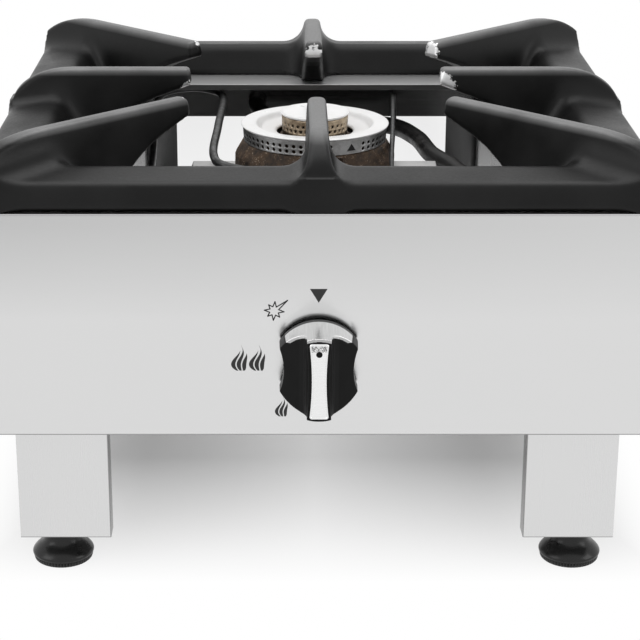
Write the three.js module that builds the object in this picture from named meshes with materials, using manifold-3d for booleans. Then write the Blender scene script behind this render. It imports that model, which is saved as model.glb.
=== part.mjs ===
// A low stock pot range: folded sheet body on four corner legs, one double crown gas
// burner in a square well, and a cast pot grate over it. Millimetres, +Z up, front is -Y,
// origin on the floor under the middle of the model's plan.

import * as THREE from 'three';
import { mergeVertices } from 'three/addons/utils/BufferGeometryUtils.js';
import Module from 'manifold-3d';

const wasm = await Module();
wasm.setup();

// ---------- driving dimensions ----------

// body
const bodySize = 580;            // width and depth of body, top plate and grate
const bodyBottomZ = 146;
const bodyTopZ = 342;            // top of the top plate, where the grate lies
const sheet = 1.5;               // body panels and top plate
const heavySheet = 2;            // legs, rails, runners, burner bracket
const panelFlange = 20;
const wellSize = 360;            // square opening in the top plate
const wellHem = 6;
const fitGap = 0.3;              // between pieces that touch or rest on each other
const windowWidth = 300;         // opening in the rear panel
const windowTopZ = 281;
const screwInset = 50;           // outer rear screws from the body's edges
const screwShank = 2.4;          // radius
const screwHead = 4.2;           // radius
const screwHeadHeight = 2.4;

// legs and feet
const legWidth = 80;
const legInset = 28;             // leg faces behind the panel faces
const legReturn = 20;
const legBottomZ = 35;
const legTopZ = 300;
const footPlate = 3;
const footPlateSize = 66;
const footRimRadius = 27.5;
const footRimHeight = 6;
const footNeckRadius = 14;
const studRadius = 5;
const studTopZ = 76;
const nutAcrossFlats = 17;
const footNutHeight = 8;

// base frame and tray
const railHeight = 25;
const runnerHeight = 37.5;
const runnerFlange = 28;
const runnerFoot = 20;
const trayClearance = 4;
const trayDepth = 21;
const traySheet = 1.2;
const trayFrontGap = 58;
const trayRearGap = 40;
const trayLip = 18;
const trayLipWidth = 120;

// burner
const bracketTopZ = 302.7;
const bracketArm = 40;           // width of the bracket's arms
const bracketHalfSpan = 118;
const bracketPlate = [150, 110]; // the wider middle
const stubSize = 40;             // square gas stub under the burner base
const stubLength = 62.7;
const baseRadius = 77;
const baseTopRadius = 69;
const baseShoulder = 14;
const baseHeight = 28;
const baseWall = 8;
const hubRadius = 34;
const hubHeight = 33.3;
const gasBoreRadius = 13;
const ringRadius = 71;
const ringHeight = 16;
const ringRim = 15;              // flat white rim outside the dish
const ringWall = 2.5;
const ringHoleRadius = 36.6;
const ringDishDepth = 6;
const crownRadius = 32;          // inner brass crown
const crownWall = 2;
const crownHeight = 18;
const capRadius = 33.5;
const capThickness = 3;
const capSpigot = 5;

// mixing tube and injector, on one axis under the burner
const mixerDrop = 40.7;          // the tubes' axis under the bracket's top
const gasPipeReach = 26.5;       // middle of the valve to the injector holder
const mixerMouthRadius = 24;
const mixerThroatRadius = 14;
const mixerEndRadius = 18;
const mixerWall = 3;
const yokeReach = 42;
const injectorNeckRadius = 7.7;
const injectorHexFlats = 22;
const injectorHexLength = 14;
const shutterRadius = 26;
const shutterThickness = 2;
const shutterStandoff = 4;

// valve and knob, on one axis through the front panel
const knobZ = 214;
const valveWidth = 40;
const valveDepth = 45;
const valveNeckRadius = 9;
const valveFaceGap = 3.5;        // valve block behind the panel's inner face
const valveNutFlats = 24;
const valveNutThickness = 4;
const spindleRadius = 4;
const collarRadius = 6.5;
const knobRadius = 38.5;
const knobFrontRadius = 36.3;    // it draws in towards its front
const knobWaist = 29;            // half width between the scooped sides
const scoopRadius = 53;
const knobWall = 2.6;            // silver sleeve
const bandDepth = 13;            // the sleeve covers this much of the knob's top
const knobStandoff = 5.5;        // knob's back edge in front of the panel
const knobShoulder = 31;         // panel to the knob's scooped shoulders
const knobReach = 48;            // panel to the front of the grip
const cheekFall = 8.5;           // from the shoulders back to the rim
const gripWidth = 21;
const gripWaist = 17.4;
const insertMargin = 2.5;        // black border round the bright plate
const insertThickness = 1.2;
const knobFloor = 10;            // web of black plastic behind the shoulders

// gas pipes
const gasPipeRadius = 5;
const supplyPipeRadius = 9;
const pilotTubeRadius = 4;
const leadRadius = 2.2;
const inletX = -60;
const inletDrop = 42;            // under the top of the body
const inletReach = 48;           // rear panel to the back of the elbow
const elbowRadius = 14;
const elbowDrop = 38;
const inletNutFlats = 30;
const inletNutThickness = 10;

// pilot and thermocouple, in front of the burner
const pilotGap = 21;             // burner base to the pilot's axis
const pilotX = -18;
const pilotRadius = 6;
const pilotHeight = 23;
const probeX = 22;
const probeRadius = 2.5;
const lugHeight = 6.3;           // lug on the burner base that carries them

// pot grate
const grateHeight = 58;          // panel top to the pot
const barHeight = 29;
const barWidth = 50;
const barSlope = 5;              // the bar's top rises inward by this
const barFoot = 66;              // the bar is wider at its underside, on the inner side
const barCorner = 18;
const fingerWidth = 16;
const fingerRootWidth = 52;
const fingerTip = 122;           // finger tips from the centre, along X and Y
const fingerSetback = 6;         // outer end of a finger's ridge from the grate's edge
const fingerFall = 56;           // length over which a finger's outer end falls
const fingerTipHeight = 16;
const fingerWeb = [[33, 28], [50, 36], [65, 46]];   // underside: run from the tip, fall from the top
const fingerWebRun = 80;         // from the tip to where the web meets the bar's underside level
const grateEdge = 3;
const barWall = 8;                // the bar's underside is cored out between its walls

// ---------- derived places ----------

const half = bodySize / 2;
const inner = half - sheet;                    // inner faces of the panels
const plateUnderZ = bodyTopZ - sheet;
const legFace = half - legInset;
const footCentre = legFace - footPlateSize / 2;
const railWidth = inner - legFace;
const railBottomZ = bodyBottomZ + sheet;
const railTopZ = railBottomZ + railHeight;
const windowBottomZ = railTopZ + 1;
const runnerX = windowWidth / 2;
const runnerTopZ = railTopZ + runnerHeight;
const trayHalf = runnerX - heavySheet - trayClearance;
const trayZ = railTopZ + heavySheet + fitGap;
const panelFront = -half;
const valveFront = -inner + valveFaceGap;
const valveBack = valveFront + valveDepth;
const valveY = (valveFront + valveBack) / 2;
const stubBottomZ = bracketTopZ - stubLength;
const baseTopZ = bracketTopZ + baseHeight;
const hubTopZ = bracketTopZ + hubHeight;
const lugZ = bracketTopZ + lugHeight;
const mixerZ = bracketTopZ - mixerDrop;
const ringBottomZ = baseTopZ + fitGap;
const ringTopZ = ringBottomZ + ringHeight;
const pilotY = -baseRadius - pilotGap;
const crownBottomZ = hubTopZ + fitGap;
const capZ = crownBottomZ + crownHeight + fitGap;
const holderFrontY = valveY + gasPipeReach;
const mixerMouthY = holderFrontY + injectorHexLength + yokeReach;
const inletY = half + inletReach - elbowRadius;
const inletZ = bodyTopZ - inletDrop;
const grateZ = bodyTopZ + fitGap;
const potZ = bodyTopZ + grateHeight;

// ---------- materials ----------

function finish(color, roughness, metalness) {
  return new THREE.MeshStandardMaterial({ color, roughness, metalness });
}

const brushedSteel = finish(0xd2d2d2, 0.35, 1.0);
const legSteel = finish(0xcccccc, 0.38, 1.0);
const plainSteel = finish(0x9a9a9a, 0.5, 1.0);
const zincSteel = finish(0xb8bab8, 0.4, 1.0);
const castIron = finish(0x232323, 0.5, 0.2);
const burnerCasting = finish(0x7a6a58, 0.7, 0.6);
const whiteEnamel = finish(0xf0efec, 0.35, 0.0);
const brass = finish(0xa98e62, 0.45, 1.0);
const blackPlastic = finish(0x161616, 0.45, 0.0);
const satinSilver = finish(0xe2e2e2, 0.3, 1.0);
const darkPipe = finish(0x3a3a3a, 0.5, 0.8);
const copperTube = finish(0x6d6a66, 0.4, 0.9);

// ---------- solids ----------

function toSolid(geometry) {
  const bare = geometry.index ? geometry.toNonIndexed() : geometry.clone();
  bare.deleteAttribute('normal');
  bare.deleteAttribute('uv');
  const merged = mergeVertices(bare, 1e-4);
  return new wasm.Manifold(new wasm.Mesh({
    numProp: 3,
    vertProperties: new Float32Array(merged.attributes.position.array),
    triVerts: new Uint32Array(merged.index.array),
  }));
}

function toGeometry(solid) {
  const mesh = solid.getMesh();
  const geometry = new THREE.BufferGeometry();
  geometry.setAttribute('position', new THREE.BufferAttribute(mesh.vertProperties, 3));
  geometry.setIndex(new THREE.BufferAttribute(mesh.triVerts, 1));
  geometry.computeVertexNormals();
  return geometry;
}

const join = (...solids) => solids.reduce((whole, piece) => whole.add(piece));
const cut = (solid, ...tools) => tools.reduce((rest, tool) => rest.subtract(tool), solid);

function block([x0, x1], [y0, y1], [z0, z1]) {
  const box = new THREE.BoxGeometry(x1 - x0, y1 - y0, z1 - z0);
  box.translate((x0 + x1) / 2, (y0 + y1) / 2, (z0 + z1) / 2);
  return toSolid(box);
}

// a round or many-sided bar between two levels of one axis
function bar(axis, at, radius, from, to, sides = 24) {
  const shape = new THREE.CylinderGeometry(radius, radius, to - from, sides);
  shape.translate(0, (from + to) / 2, 0);
  if (axis === 'z') shape.rotateX(Math.PI / 2);
  if (axis === 'x') shape.rotateZ(-Math.PI / 2);
  return toSolid(shape.translate(...at));
}

function hexBar(axis, at, flats, from, to) {
  return bar(axis, at, flats / Math.sqrt(3), from, to, 6);
}

// a closed profile of [radius, height] pairs turned about Z, then moved
function turned(profile, at = [0, 0, 0], sides = 36) {
  const points = profile.map(([r, z]) => new THREE.Vector2(r, z));
  const shape = new THREE.LatheGeometry(points, sides);
  shape.rotateX(Math.PI / 2);
  return toSolid(shape.translate(...at));
}

// the same, turned about the Y axis: pairs are [radius, y]
function turnedAlongY(profile, at = [0, 0, 0], sides = 24) {
  const points = profile.map(([r, y]) => new THREE.Vector2(r, y));
  return toSolid(new THREE.LatheGeometry(points, sides).translate(...at));
}

// an outline in the XZ plane given as [x, z], as deep as the Y range says
function outlineXZ(points, [y0, y1]) {
  const shape = new THREE.Shape(points.map(([x, z]) => new THREE.Vector2(x, z)));
  const solid = new THREE.ExtrudeGeometry(shape, { depth: y1 - y0, bevelEnabled: false });
  solid.rotateX(Math.PI / 2);
  return toSolid(solid.translate(0, y1, 0));
}

// an outline in the XY plane given as [x, y], as high as the Z range says
function outlineXY(points, [z0, z1]) {
  const shape = new THREE.Shape(points.map(([x, y]) => new THREE.Vector2(x, y)));
  const solid = new THREE.ExtrudeGeometry(shape, { depth: z1 - z0, bevelEnabled: false });
  return toSolid(solid.translate(0, 0, z0));
}

// a round tube that follows a smooth line through the points
function tube(points, radius, steps, sides = 8) {
  const path = new THREE.CatmullRomCurve3(
    points.map((p) => new THREE.Vector3(...p)), false, 'centripetal');
  const section = new THREE.Shape();
  section.absarc(0, 0, radius, 0, Math.PI * 2);
  const solid = new THREE.ExtrudeGeometry(section, {
    steps, curveSegments: sides / 2, extrudePath: path, bevelEnabled: false });
  return toSolid(solid);
}

const model = new THREE.Group();

function place(name, solid, material, parent = model) {
  const mesh = new THREE.Mesh(toGeometry(solid), material);
  mesh.name = name;
  parent.add(mesh);
  return mesh;
}

// ---------- body ----------

// One body panel, drawn as the front one: a face with a flange folded in along its
// top and bottom edges. faceHalf and flangeHalf are half lengths.
function foldedPanel(faceHalf, flangeHalf) {
  const flangeY = [-half, -half + panelFlange];
  return join(
    block([-faceHalf, faceHalf], [-half, -inner], [bodyBottomZ, plateUnderZ]),
    block([-flangeHalf, flangeHalf], flangeY, [bodyBottomZ, bodyBottomZ + sheet]),
    block([-flangeHalf, flangeHalf], flangeY, [plateUnderZ - sheet, plateUnderZ]),
  );
}

// the front and rear flanges run between the side panels; the side flanges stop short of them
function longPanel() {
  const face = block([-half, half], [-half, -inner], [bodyBottomZ, plateUnderZ]);
  return join(face, foldedPanel(inner, inner));
}

const turnZ = (solid, degrees) => solid.rotate([0, 0, degrees]);

const valveHole = bar('y', [0, 0, knobZ], valveNeckRadius + fitGap, -half - 1, -inner + 1);
place('front_panel', cut(longPanel(), valveHole), brushedSteel);

const screwSpan = half - screwInset;
const screwXs = [-1, -1 / 3, 1 / 3, 1].map((share) => share * screwSpan);
const screwZ = railBottomZ + railHeight / 2;

function rearPanel() {
  const window = block([-windowWidth / 2, windowWidth / 2], [inner - 1, half + 1],
    [windowBottomZ, windowTopZ]);
  const inletHole = bar('y', [inletX, 0, inletZ], supplyPipeRadius + fitGap, inner - 1, half + 1);
  const screwHoles = screwXs.map((x) => bar(
    'y', [x, 0, screwZ], screwShank + fitGap, inner - 1, half + 1, 12));
  return cut(turnZ(longPanel(), 180), window, inletHole, ...screwHoles);
}
place('rear_panel', rearPanel(), brushedSteel);

screwXs.forEach((x, i) => {
  const shank = bar('y', [x, 0, screwZ], screwShank, inner, half + 1, 12);
  const head = bar('y', [x, 0, screwZ], screwHead, half, half + screwHeadHeight, 12);
  place(`rear_screw_${i + 1}`, join(shank, head), zincSteel);
});

const sideFlangeHalf = half - panelFlange - fitGap;
place('side_panel_left', turnZ(foldedPanel(inner, sideFlangeHalf), -90), brushedSteel);
place('side_panel_right', turnZ(foldedPanel(inner, sideFlangeHalf), 90), brushedSteel);

// a plain square plate with the well cut in it and a short hem round the well
function topPlate() {
  const wellHalf = wellSize / 2;
  const span = (h) => [-h, h];
  const plate = block(span(half), span(half), [plateUnderZ, bodyTopZ]);
  const hem = block(span(wellHalf + sheet), span(wellHalf + sheet), [bodyTopZ - wellHem, bodyTopZ]);
  const well = block(span(wellHalf), span(wellHalf), [bodyTopZ - wellHem - 1, bodyTopZ + 1]);
  return cut(join(plate, hem), well);
}
place('top_plate', topPlate(), brushedSteel);

// ---------- base frame, legs and feet ----------

// an open channel along X with its outer wall against a panel's inner face
function railChannel(halfLength) {
  const x = [-halfLength, halfLength];
  const outer = -inner;
  const innerWall = -legFace;
  return join(
    block(x, [outer, innerWall], [railBottomZ, railBottomZ + heavySheet]),
    block(x, [outer, outer + heavySheet], [railBottomZ, railTopZ]),
    block(x, [innerWall - heavySheet, innerWall], [railBottomZ, railTopZ]),
  );
}
place('base_rail_front', railChannel(inner), plainSteel);
place('base_rail_rear', turnZ(railChannel(inner), 180), plainSteel);
place('base_rail_left', turnZ(railChannel(legFace), -90), plainSteel);
place('base_rail_right', turnZ(railChannel(legFace), 90), plainSteel);

// one corner leg, drawn at the front left: two faces, two returns and a foot plate
function cornerLeg() {
  const out = -legFace;
  const end = out + legWidth;
  const skin = [out, out + heavySheet];
  const edge = [end - heavySheet, end];
  const z = [legBottomZ, legTopZ];
  const plateSpan = [out, out + footPlateSize];
  const plate = block(plateSpan, plateSpan, [legBottomZ, legBottomZ + footPlate]);
  const hole = bar('z', [-footCentre, -footCentre, 0], studRadius + 2 * fitGap,
    legBottomZ - 1, legBottomZ + footPlate + 1);
  return join(
    block([out, end], skin, z),
    block(skin, [out, end], z),
    block(edge, [out, out + legReturn], z),
    block([out, out + legReturn], edge, z),
    cut(plate, hole),
  );
}

function footNut() {
  const at = [-footCentre, -footCentre, 0];
  const from = legBottomZ + footPlate;
  return cut(
    hexBar('z', at, nutAcrossFlats, from, from + footNutHeight),
    bar('z', at, studRadius + fitGap, from - 1, from + footNutHeight + 1),
  );
}

const footTopZ = legBottomZ - 2;

function foot() {
  const shoulder = footRimHeight + 1.5;
  return turned([
    [0, 0],
    [footRimRadius - 2, 0],
    [footRimRadius, 1.5],
    [footRimRadius, shoulder],
    [footRimRadius - 2, shoulder + 3.5],
    [footRimRadius - 6.5, shoulder + 9.5],
    [footNeckRadius + 2.5, shoulder + 17],
    [footNeckRadius, footTopZ],
    [0, footTopZ],
  ], [-footCentre, -footCentre, 0], 28);
}

function footStud() {
  return bar('z', [-footCentre, -footCentre, 0], studRadius, footTopZ, studTopZ, 12);
}

const corners = { front_left: 0, front_right: 90, rear_right: 180, rear_left: 270 };
for (const [corner, degrees] of Object.entries(corners)) {
  place(`leg_${corner}`, turnZ(cornerLeg(), degrees), legSteel);
  place(`foot_nut_${corner}`, turnZ(footNut(), degrees), zincSteel);
  place(`foot_${corner}`, turnZ(foot(), degrees), blackPlastic);
  place(`foot_stud_${corner}`, turnZ(footStud(), degrees), zincSteel);
}

// ---------- tray and its runners ----------

// the left runner: a flange under the tray, a web, and a foot for the burner bracket
function trayRunner() {
  const y = [-inner + fitGap, inner - fitGap];
  const web = [-runnerX, -runnerX + heavySheet];
  return join(
    block([-runnerX, -runnerX + runnerFlange], y, [railTopZ, railTopZ + heavySheet]),
    block(web, y, [railTopZ, runnerTopZ]),
    block([-runnerX - runnerFoot, web[1]], y, [runnerTopZ - heavySheet, runnerTopZ]),
  );
}
place('tray_runner_left', trayRunner(), plainSteel);
place('tray_runner_right', turnZ(trayRunner(), 180), plainSteel);

function dripTray() {
  const y = [-half + trayFrontGap, half - trayRearGap];
  const topZ = trayZ + trayDepth;
  const pan = cut(
    block([-trayHalf, trayHalf], y, [trayZ, topZ]),
    block([-trayHalf + traySheet, trayHalf - traySheet], [y[0] + traySheet, y[1] - traySheet],
      [trayZ + traySheet, topZ + 1]),
  );
  const lipX = [-trayLipWidth / 2, trayLipWidth / 2];
  const lip = block(lipX, [y[1] - traySheet, y[1] + trayLip], [topZ - traySheet, topZ]);
  const lipHem = block(lipX, [y[1] + trayLip - traySheet, y[1] + trayLip], [topZ - 8, topZ]);
  return join(pan, lip, lipHem);
}
place('drip_tray', dripTray(), brushedSteel);

// ---------- burner ----------

const bracketUnderZ = bracketTopZ - heavySheet;

// a bridge over the tray: flat top, slanting legs and feet on the runners
function burnerBracket() {
  const footX = runnerX + heavySheet;
  const footEnd = runnerX + runnerFoot - heavySheet;
  const footTop = runnerTopZ + heavySheet;
  const rightSide = [
    [bracketHalfSpan, bracketTopZ],
    [footX + heavySheet, footTop],
    [footEnd, footTop],
    [footEnd, runnerTopZ],
    [footX, runnerTopZ],
    [bracketHalfSpan - heavySheet, bracketUnderZ],
  ];
  const leftSide = rightSide.map(([x, z]) => [-x, z]).reverse();
  const bridge = outlineXZ([...rightSide, ...leftSide].reverse(), [-bracketArm / 2, bracketArm / 2]);
  const [plateX, plateY] = bracketPlate.map((size) => size / 2);
  const plate = block([-plateX, plateX], [-plateY, plateY], [bracketUnderZ, bracketTopZ]);
  const open = stubSize / 2 + fitGap;
  return cut(join(bridge, plate), block([-open, open], [-open, open], [bracketUnderZ - 1, bracketTopZ + 1]));
}
place('burner_bracket', burnerBracket(), plainSteel);

// the cast base: a gas ring round a hub, on a square stub that takes the mixing tube
function burnerBase() {
  const bowlRadius = baseTopRadius - baseWall;
  const floorZ = bracketTopZ + baseWall;
  const bowl = turned([
    [0, bracketTopZ],
    [baseRadius, bracketTopZ],
    [baseRadius, baseTopZ - baseShoulder],
    [baseTopRadius, baseTopZ],
    [bowlRadius, baseTopZ],
    [bowlRadius, floorZ],
    [hubRadius, floorZ],
    [hubRadius, hubTopZ],
    [0, hubTopZ],
  ]);
  const stubHalf = stubSize / 2;
  const stub = block([-stubHalf, stubHalf], [-stubHalf, stubHalf], [stubBottomZ, bracketTopZ + 1]);
  const lug = block([-12, 12], [pilotY + 6, -baseRadius + 8], [bracketTopZ, lugZ]);
  return cut(
    join(bowl, stub, lug),
    bar('z', [0, 0, 0], gasBoreRadius, stubBottomZ + baseWall, hubTopZ + 1),
    bar('y', [0, 0, mixerZ], gasBoreRadius, -stubHalf - 1, 0),
    bar('x', [0, 0, (floorZ + baseTopZ) / 2], 5, -hubRadius - 4, hubRadius + 4, 12),
  );
}
place('burner_base', burnerBase(), burnerCasting);

// closed by its top and open below, where the gas comes up from the base
function outerCrownRing() {
  const lipZ = ringTopZ - 1.6;
  const wallTop = ringRadius - 1.5;
  const wallFoot = baseTopRadius - 0.6;
  const dishEdge = ringRadius - ringRim;
  const dishZ = ringTopZ - ringDishDepth;
  return turned([
    [wallFoot, ringBottomZ],
    [wallTop, lipZ - 1.2],
    [ringRadius, lipZ],
    [ringRadius, ringTopZ],
    [dishEdge, ringTopZ],
    [dishEdge - 3, dishZ],
    [ringHoleRadius, dishZ - 1.5],
    [ringHoleRadius, dishZ - 1.5 - ringWall],
    [dishEdge - 3 - ringWall, dishZ - ringWall],
    [dishEdge - 1, ringTopZ - ringWall],
    [wallTop - ringWall, ringTopZ - ringWall],
    [wallFoot - ringWall, ringBottomZ],
    [wallFoot, ringBottomZ],
  ], [0, 0, 0], 50);
}
place('outer_crown_ring', outerCrownRing(), whiteEnamel);

place('inner_crown', turned([
  [crownRadius - 0.8, crownBottomZ],
  [crownRadius, crownBottomZ + crownHeight],
  [crownRadius - crownWall, crownBottomZ + crownHeight],
  [crownRadius - crownWall - 0.8, crownBottomZ],
  [crownRadius - 0.8, crownBottomZ],
], [0, 0, 0], 32), brass);

place('inner_cap', turned([
  [0, capZ - capSpigot],
  [crownRadius - crownWall - 2, capZ - capSpigot],
  [crownRadius - crownWall - 2, capZ],
  [capRadius - 1.5, capZ],
  [capRadius, capZ + capThickness],
  [capRadius - 2, capZ + capThickness],
  [capRadius - 4, capZ + capThickness - 1],
  [0, capZ + capThickness - 1],
], [0, 0, 0], 32), whiteEnamel);

// ---------- mixing tube, injector and air shutter ----------

const mixerAt = [0, 0, mixerZ];
const yokeHalf = shutterRadius + 5;

// the bell and throat, with a yoke in front of the mouth that carries the injector
function mixingTube() {
  const endY = -stubSize / 2;
  const flangeY = mixerMouthY + 3;
  const throat = mixerThroatRadius + mixerWall;
  const bell = turnedAlongY([
    [mixerMouthRadius - mixerWall, mixerMouthY],
    [yokeHalf, mixerMouthY],
    [yokeHalf, flangeY],
    [mixerMouthRadius, flangeY],
    [throat, mixerMouthY + 30],
    [throat, mixerMouthY + 50],
    [mixerEndRadius, endY],
    [gasBoreRadius, endY],
    [mixerThroatRadius, mixerMouthY + 50],
    [mixerThroatRadius, mixerMouthY + 30],
    [mixerMouthRadius - mixerWall, mixerMouthY],
  ], mixerAt);
  const plateY = mixerMouthY - yokeReach;
  const strapX = [shutterRadius + 2, yokeHalf];
  const strapZ = [mixerZ - 8, mixerZ + 8];
  const strap = block(strapX, [plateY, flangeY], strapZ);
  const plate = cut(
    block([-yokeHalf, yokeHalf], [plateY, plateY + 3], [mixerZ - 12, mixerZ + 12]),
    bar('y', mixerAt, injectorNeckRadius + fitGap, plateY - 1, plateY + 4),
  );
  return join(bell, strap, strap.mirror([1, 0, 0]), plate);
}
place('mixing_tube', mixingTube(), plainSteel);

const neckEndY = mixerMouthY - 3;

place('injector_holder', cut(
  join(
    hexBar('y', mixerAt, injectorHexFlats, holderFrontY, holderFrontY + injectorHexLength),
    bar('y', mixerAt, injectorNeckRadius, holderFrontY + 1, neckEndY),
  ),
  bar('y', mixerAt, 3, holderFrontY - 1, neckEndY + 1, 12),
), brass);

place('injector', turnedAlongY([
  [0.8, neckEndY],
  [4.5, neckEndY],
  [4.5, neckEndY + 6],
  [2.5, neckEndY + 11],
  [0.8, neckEndY + 11],
  [0.8, neckEndY],
], mixerAt, 16), brass);

// a disc that slides on the injector's neck to set how much air the mouth draws
function airShutter() {
  const backY = mixerMouthY - shutterStandoff;
  const discFront = backY - shutterThickness;
  return cut(
    join(
      bar('y', mixerAt, shutterRadius, discFront, backY),
      bar('y', mixerAt, injectorNeckRadius + 3.5, discFront - 6, backY),
    ),
    bar('y', mixerAt, injectorNeckRadius + fitGap, discFront - 7, backY + 1),
  );
}
place('air_shutter', airShutter(), zincSteel);

// ---------- gas valve ----------

const knobAt = [0, 0, knobZ];
const neckFront = panelFront - valveNutThickness - 0.5;
const pushTravel = 4;
const spindleBack = valveBack - 24;
const spindleFront = panelFront - 30;

function gasValve() {
  const w = valveWidth / 2;
  const body = block([-w, w], [valveFront, valveBack], [knobZ - w, knobZ + w]);
  const shoulder = bar('y', knobAt, valveNeckRadius + 5, -inner, valveFront + 1);
  const neck = bar('y', knobAt, valveNeckRadius, neckFront, valveFront + 1);
  const bore = bar('y', knobAt, collarRadius + fitGap, neckFront - 1,
    spindleBack + pushTravel + 2);
  return cut(join(body, shoulder, neck), bore);
}
place('gas_valve', gasValve(), brass);

place('valve_nut', cut(
  hexBar('y', knobAt, valveNutFlats, panelFront - valveNutThickness, panelFront),
  bar('y', knobAt, valveNeckRadius + fitGap, panelFront - valveNutThickness - 1, panelFront + 1),
), zincSteel);

// moves in and out with the spindle but doesn't turn with it
place('push_collar', cut(
  bar('y', knobAt, collarRadius, panelFront, panelFront + 4),
  bar('y', knobAt, spindleRadius + fitGap, panelFront - 1, panelFront + 5),
), zincSteel);

place('valve_spindle', bar('y', knobAt, spindleRadius, spindleFront, spindleBack, 16), zincSteel);

// ---------- knob ----------

const knobBack = panelFront - knobStandoff;
const shoulderY = panelFront - knobShoulder;
const gripFront = panelFront - knobReach + insertThickness;
const rimY = shoulderY + cheekFall;
const bandFromZ = knobZ + knobRadius - bandDepth;
const knobLevels = [gripFront - 1, knobBack + 1];

// the whole knob's outer surface, drawn in towards the front; inset makes it smaller
function knobCone(inset) {
  return turnedAlongY([
    [0, gripFront],
    [knobFrontRadius - inset, gripFront],
    [knobRadius - inset, knobBack],
    [0, knobBack],
  ], knobAt, 64);
}

// seen from the front: a disc waisted at both sides, and the grip bar across it
function knobSilhouette() {
  const scoops = [-1, 1].map((side) => bar('y', [side * (knobWaist + scoopRadius), 0, knobZ],
    scoopRadius, ...knobLevels, 96));
  return cut(knobCone(0), ...scoops);
}

// seen from above: cheeks that rise from the rim to the grip, and the grip itself
function knobPlan() {
  const w = gripWidth / 2;
  const side = [
    [knobRadius + 1, knobBack], [knobRadius + 1, rimY + 1], [knobRadius - 5, rimY],
    [w + 6, shoulderY], [w + 2, shoulderY - 3], [w, shoulderY - 7], [w, gripFront],
  ];
  const mirrored = side.map(([x, y]) => [-x, y]).reverse();
  const plan = outlineXY([...side, ...mirrored].reverse(),
    [knobZ - knobRadius - 1, knobZ + knobRadius + 1]);
  const pinch = (w * w + knobRadius ** 2 - (gripWaist / 2) ** 2) / (2 * (w - gripWaist / 2));
  const pinches = [-1, 1].map((end) => bar('y', [end * (gripWaist / 2 + pinch), 0, knobZ],
    pinch, gripFront - 1, shoulderY - 7, 240));
  return cut(plan, ...pinches);
}

function knobBody() {
  const whole = knobSilhouette().intersect(knobPlan());
  const forBand = cut(
    block([-knobRadius, knobRadius], knobLevels, [bandFromZ - fitGap, knobZ + knobRadius + 1]),
    knobCone(knobWall + fitGap));
  const hollowFront = shoulderY + knobFloor;
  const hollow = cut(
    bar('y', knobAt, knobWaist - 4, hollowFront, knobBack + 1, 40),
    bar('y', knobAt, 2 * spindleRadius, hollowFront - 1, knobBack - pushTravel, 24),
  );
  const bore = bar('y', knobAt, spindleRadius + fitGap, spindleFront - 3, knobBack + 1, 16);
  return cut(whole, forBand, hollow, bore);
}
place('knob_body', knobBody(), blackPlastic);

function knobBand() {
  const top = block([-knobRadius, knobRadius], knobLevels, [bandFromZ, knobZ + knobRadius + 1]);
  return cut(knobCone(0).intersect(top).intersect(knobPlan()), knobCone(knobWall));
}
place('knob_band', knobBand(), satinSilver);

// the bright plate on the grip, waisted like it
function knobInsert() {
  const w = gripWidth / 2 - insertMargin;
  const waist = gripWaist / 2 - insertMargin;
  const end = knobFrontRadius - insertMargin;
  return outlineXZ([
    [-w, knobZ - end], [w, knobZ - end], [waist, knobZ],
    [w, knobZ + end - 1], [-w, knobZ + end - 1], [-waist, knobZ],
  ], [gripFront - insertThickness, gripFront]);
}
place('knob_insert', knobInsert(), satinSilver);

// ---------- pipes and gas inlet ----------

const pipeY = valveY;
const valveHalf = valveWidth / 2;

place('gas_pipe', tube([
  [0, pipeY, knobZ + valveHalf + fitGap],
  [0, pipeY, mixerZ - 14],
  [0, pipeY + 3, mixerZ - 5],
  [0, pipeY + 9, mixerZ],
  [0, holderFrontY - fitGap, mixerZ],
], gasPipeRadius, 14), copperTube);

// from the rear inlet round the right of the burner to the valve
const supplyZ = inletZ - 10;
place('supply_pipe', tube([
  [inletX, half + inletNutThickness + 4, inletZ],
  [inletX, half, inletZ],
  [inletX, inner - 12, inletZ],
  [inletX, inner - 26, inletZ],
  [inletX + 8, inner - 48, inletZ - 4],
  [inletX + 36, inner - 62, inletZ - 9],
  [runnerX - 110, inner - 66, supplyZ],
  [runnerX - 65, inner - 80, supplyZ],
  [runnerX - 42, inner - 128, supplyZ],
  [runnerX - 30, inner - 198, supplyZ],
  [runnerX - 12, inner - 248, supplyZ],
  [runnerX, -inner + 268, supplyZ],
  [runnerX + 1, -inner + 158, supplyZ - 2],
  [runnerX - 12, pipeY + 57, supplyZ - 30],
  [runnerX - 38, pipeY + 4, knobZ + 18],
  [runnerX - 70, pipeY, knobZ],
  [valveHalf + fitGap, pipeY, knobZ],
], supplyPipeRadius, 64, 10), darkPipe);

place('inlet_nut', cut(
  hexBar('y', [inletX, 0, inletZ], inletNutFlats, half, half + inletNutThickness),
  bar('y', [inletX, 0, inletZ], supplyPipeRadius + fitGap, half - 1, half + inletNutThickness + 1),
), zincSteel);

// the elbow behind the panel, with its threaded end pointing down
function inletElbow() {
  const at = [inletX, 0, inletZ];
  const down = [inletX, inletY, 0];
  const from = half + inletNutThickness;
  const ball = toSolid(new THREE.SphereGeometry(elbowRadius, 16, 10).translate(inletX, inletY, inletZ));
  return cut(
    join(
      bar('y', at, elbowRadius - 1, from, inletY, 16),
      ball,
      bar('z', down, elbowRadius - 1, inletZ - elbowDrop, inletZ, 16),
      bar('z', down, elbowRadius, inletZ - elbowDrop, inletZ - elbowDrop + 12, 16),
    ),
    bar('y', at, supplyPipeRadius + 2 * fitGap, from - 1, inletY, 16),
    bar('z', down, supplyPipeRadius - 1, inletZ - elbowDrop - 1, inletZ, 16),
  );
}
place('inlet_elbow', inletElbow(), brass);

// ---------- pilot and thermocouple ----------

const pilotPlateZ = lugZ + heavySheet;
const tubeZ = pilotPlateZ + pilotHeight - 10;

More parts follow.
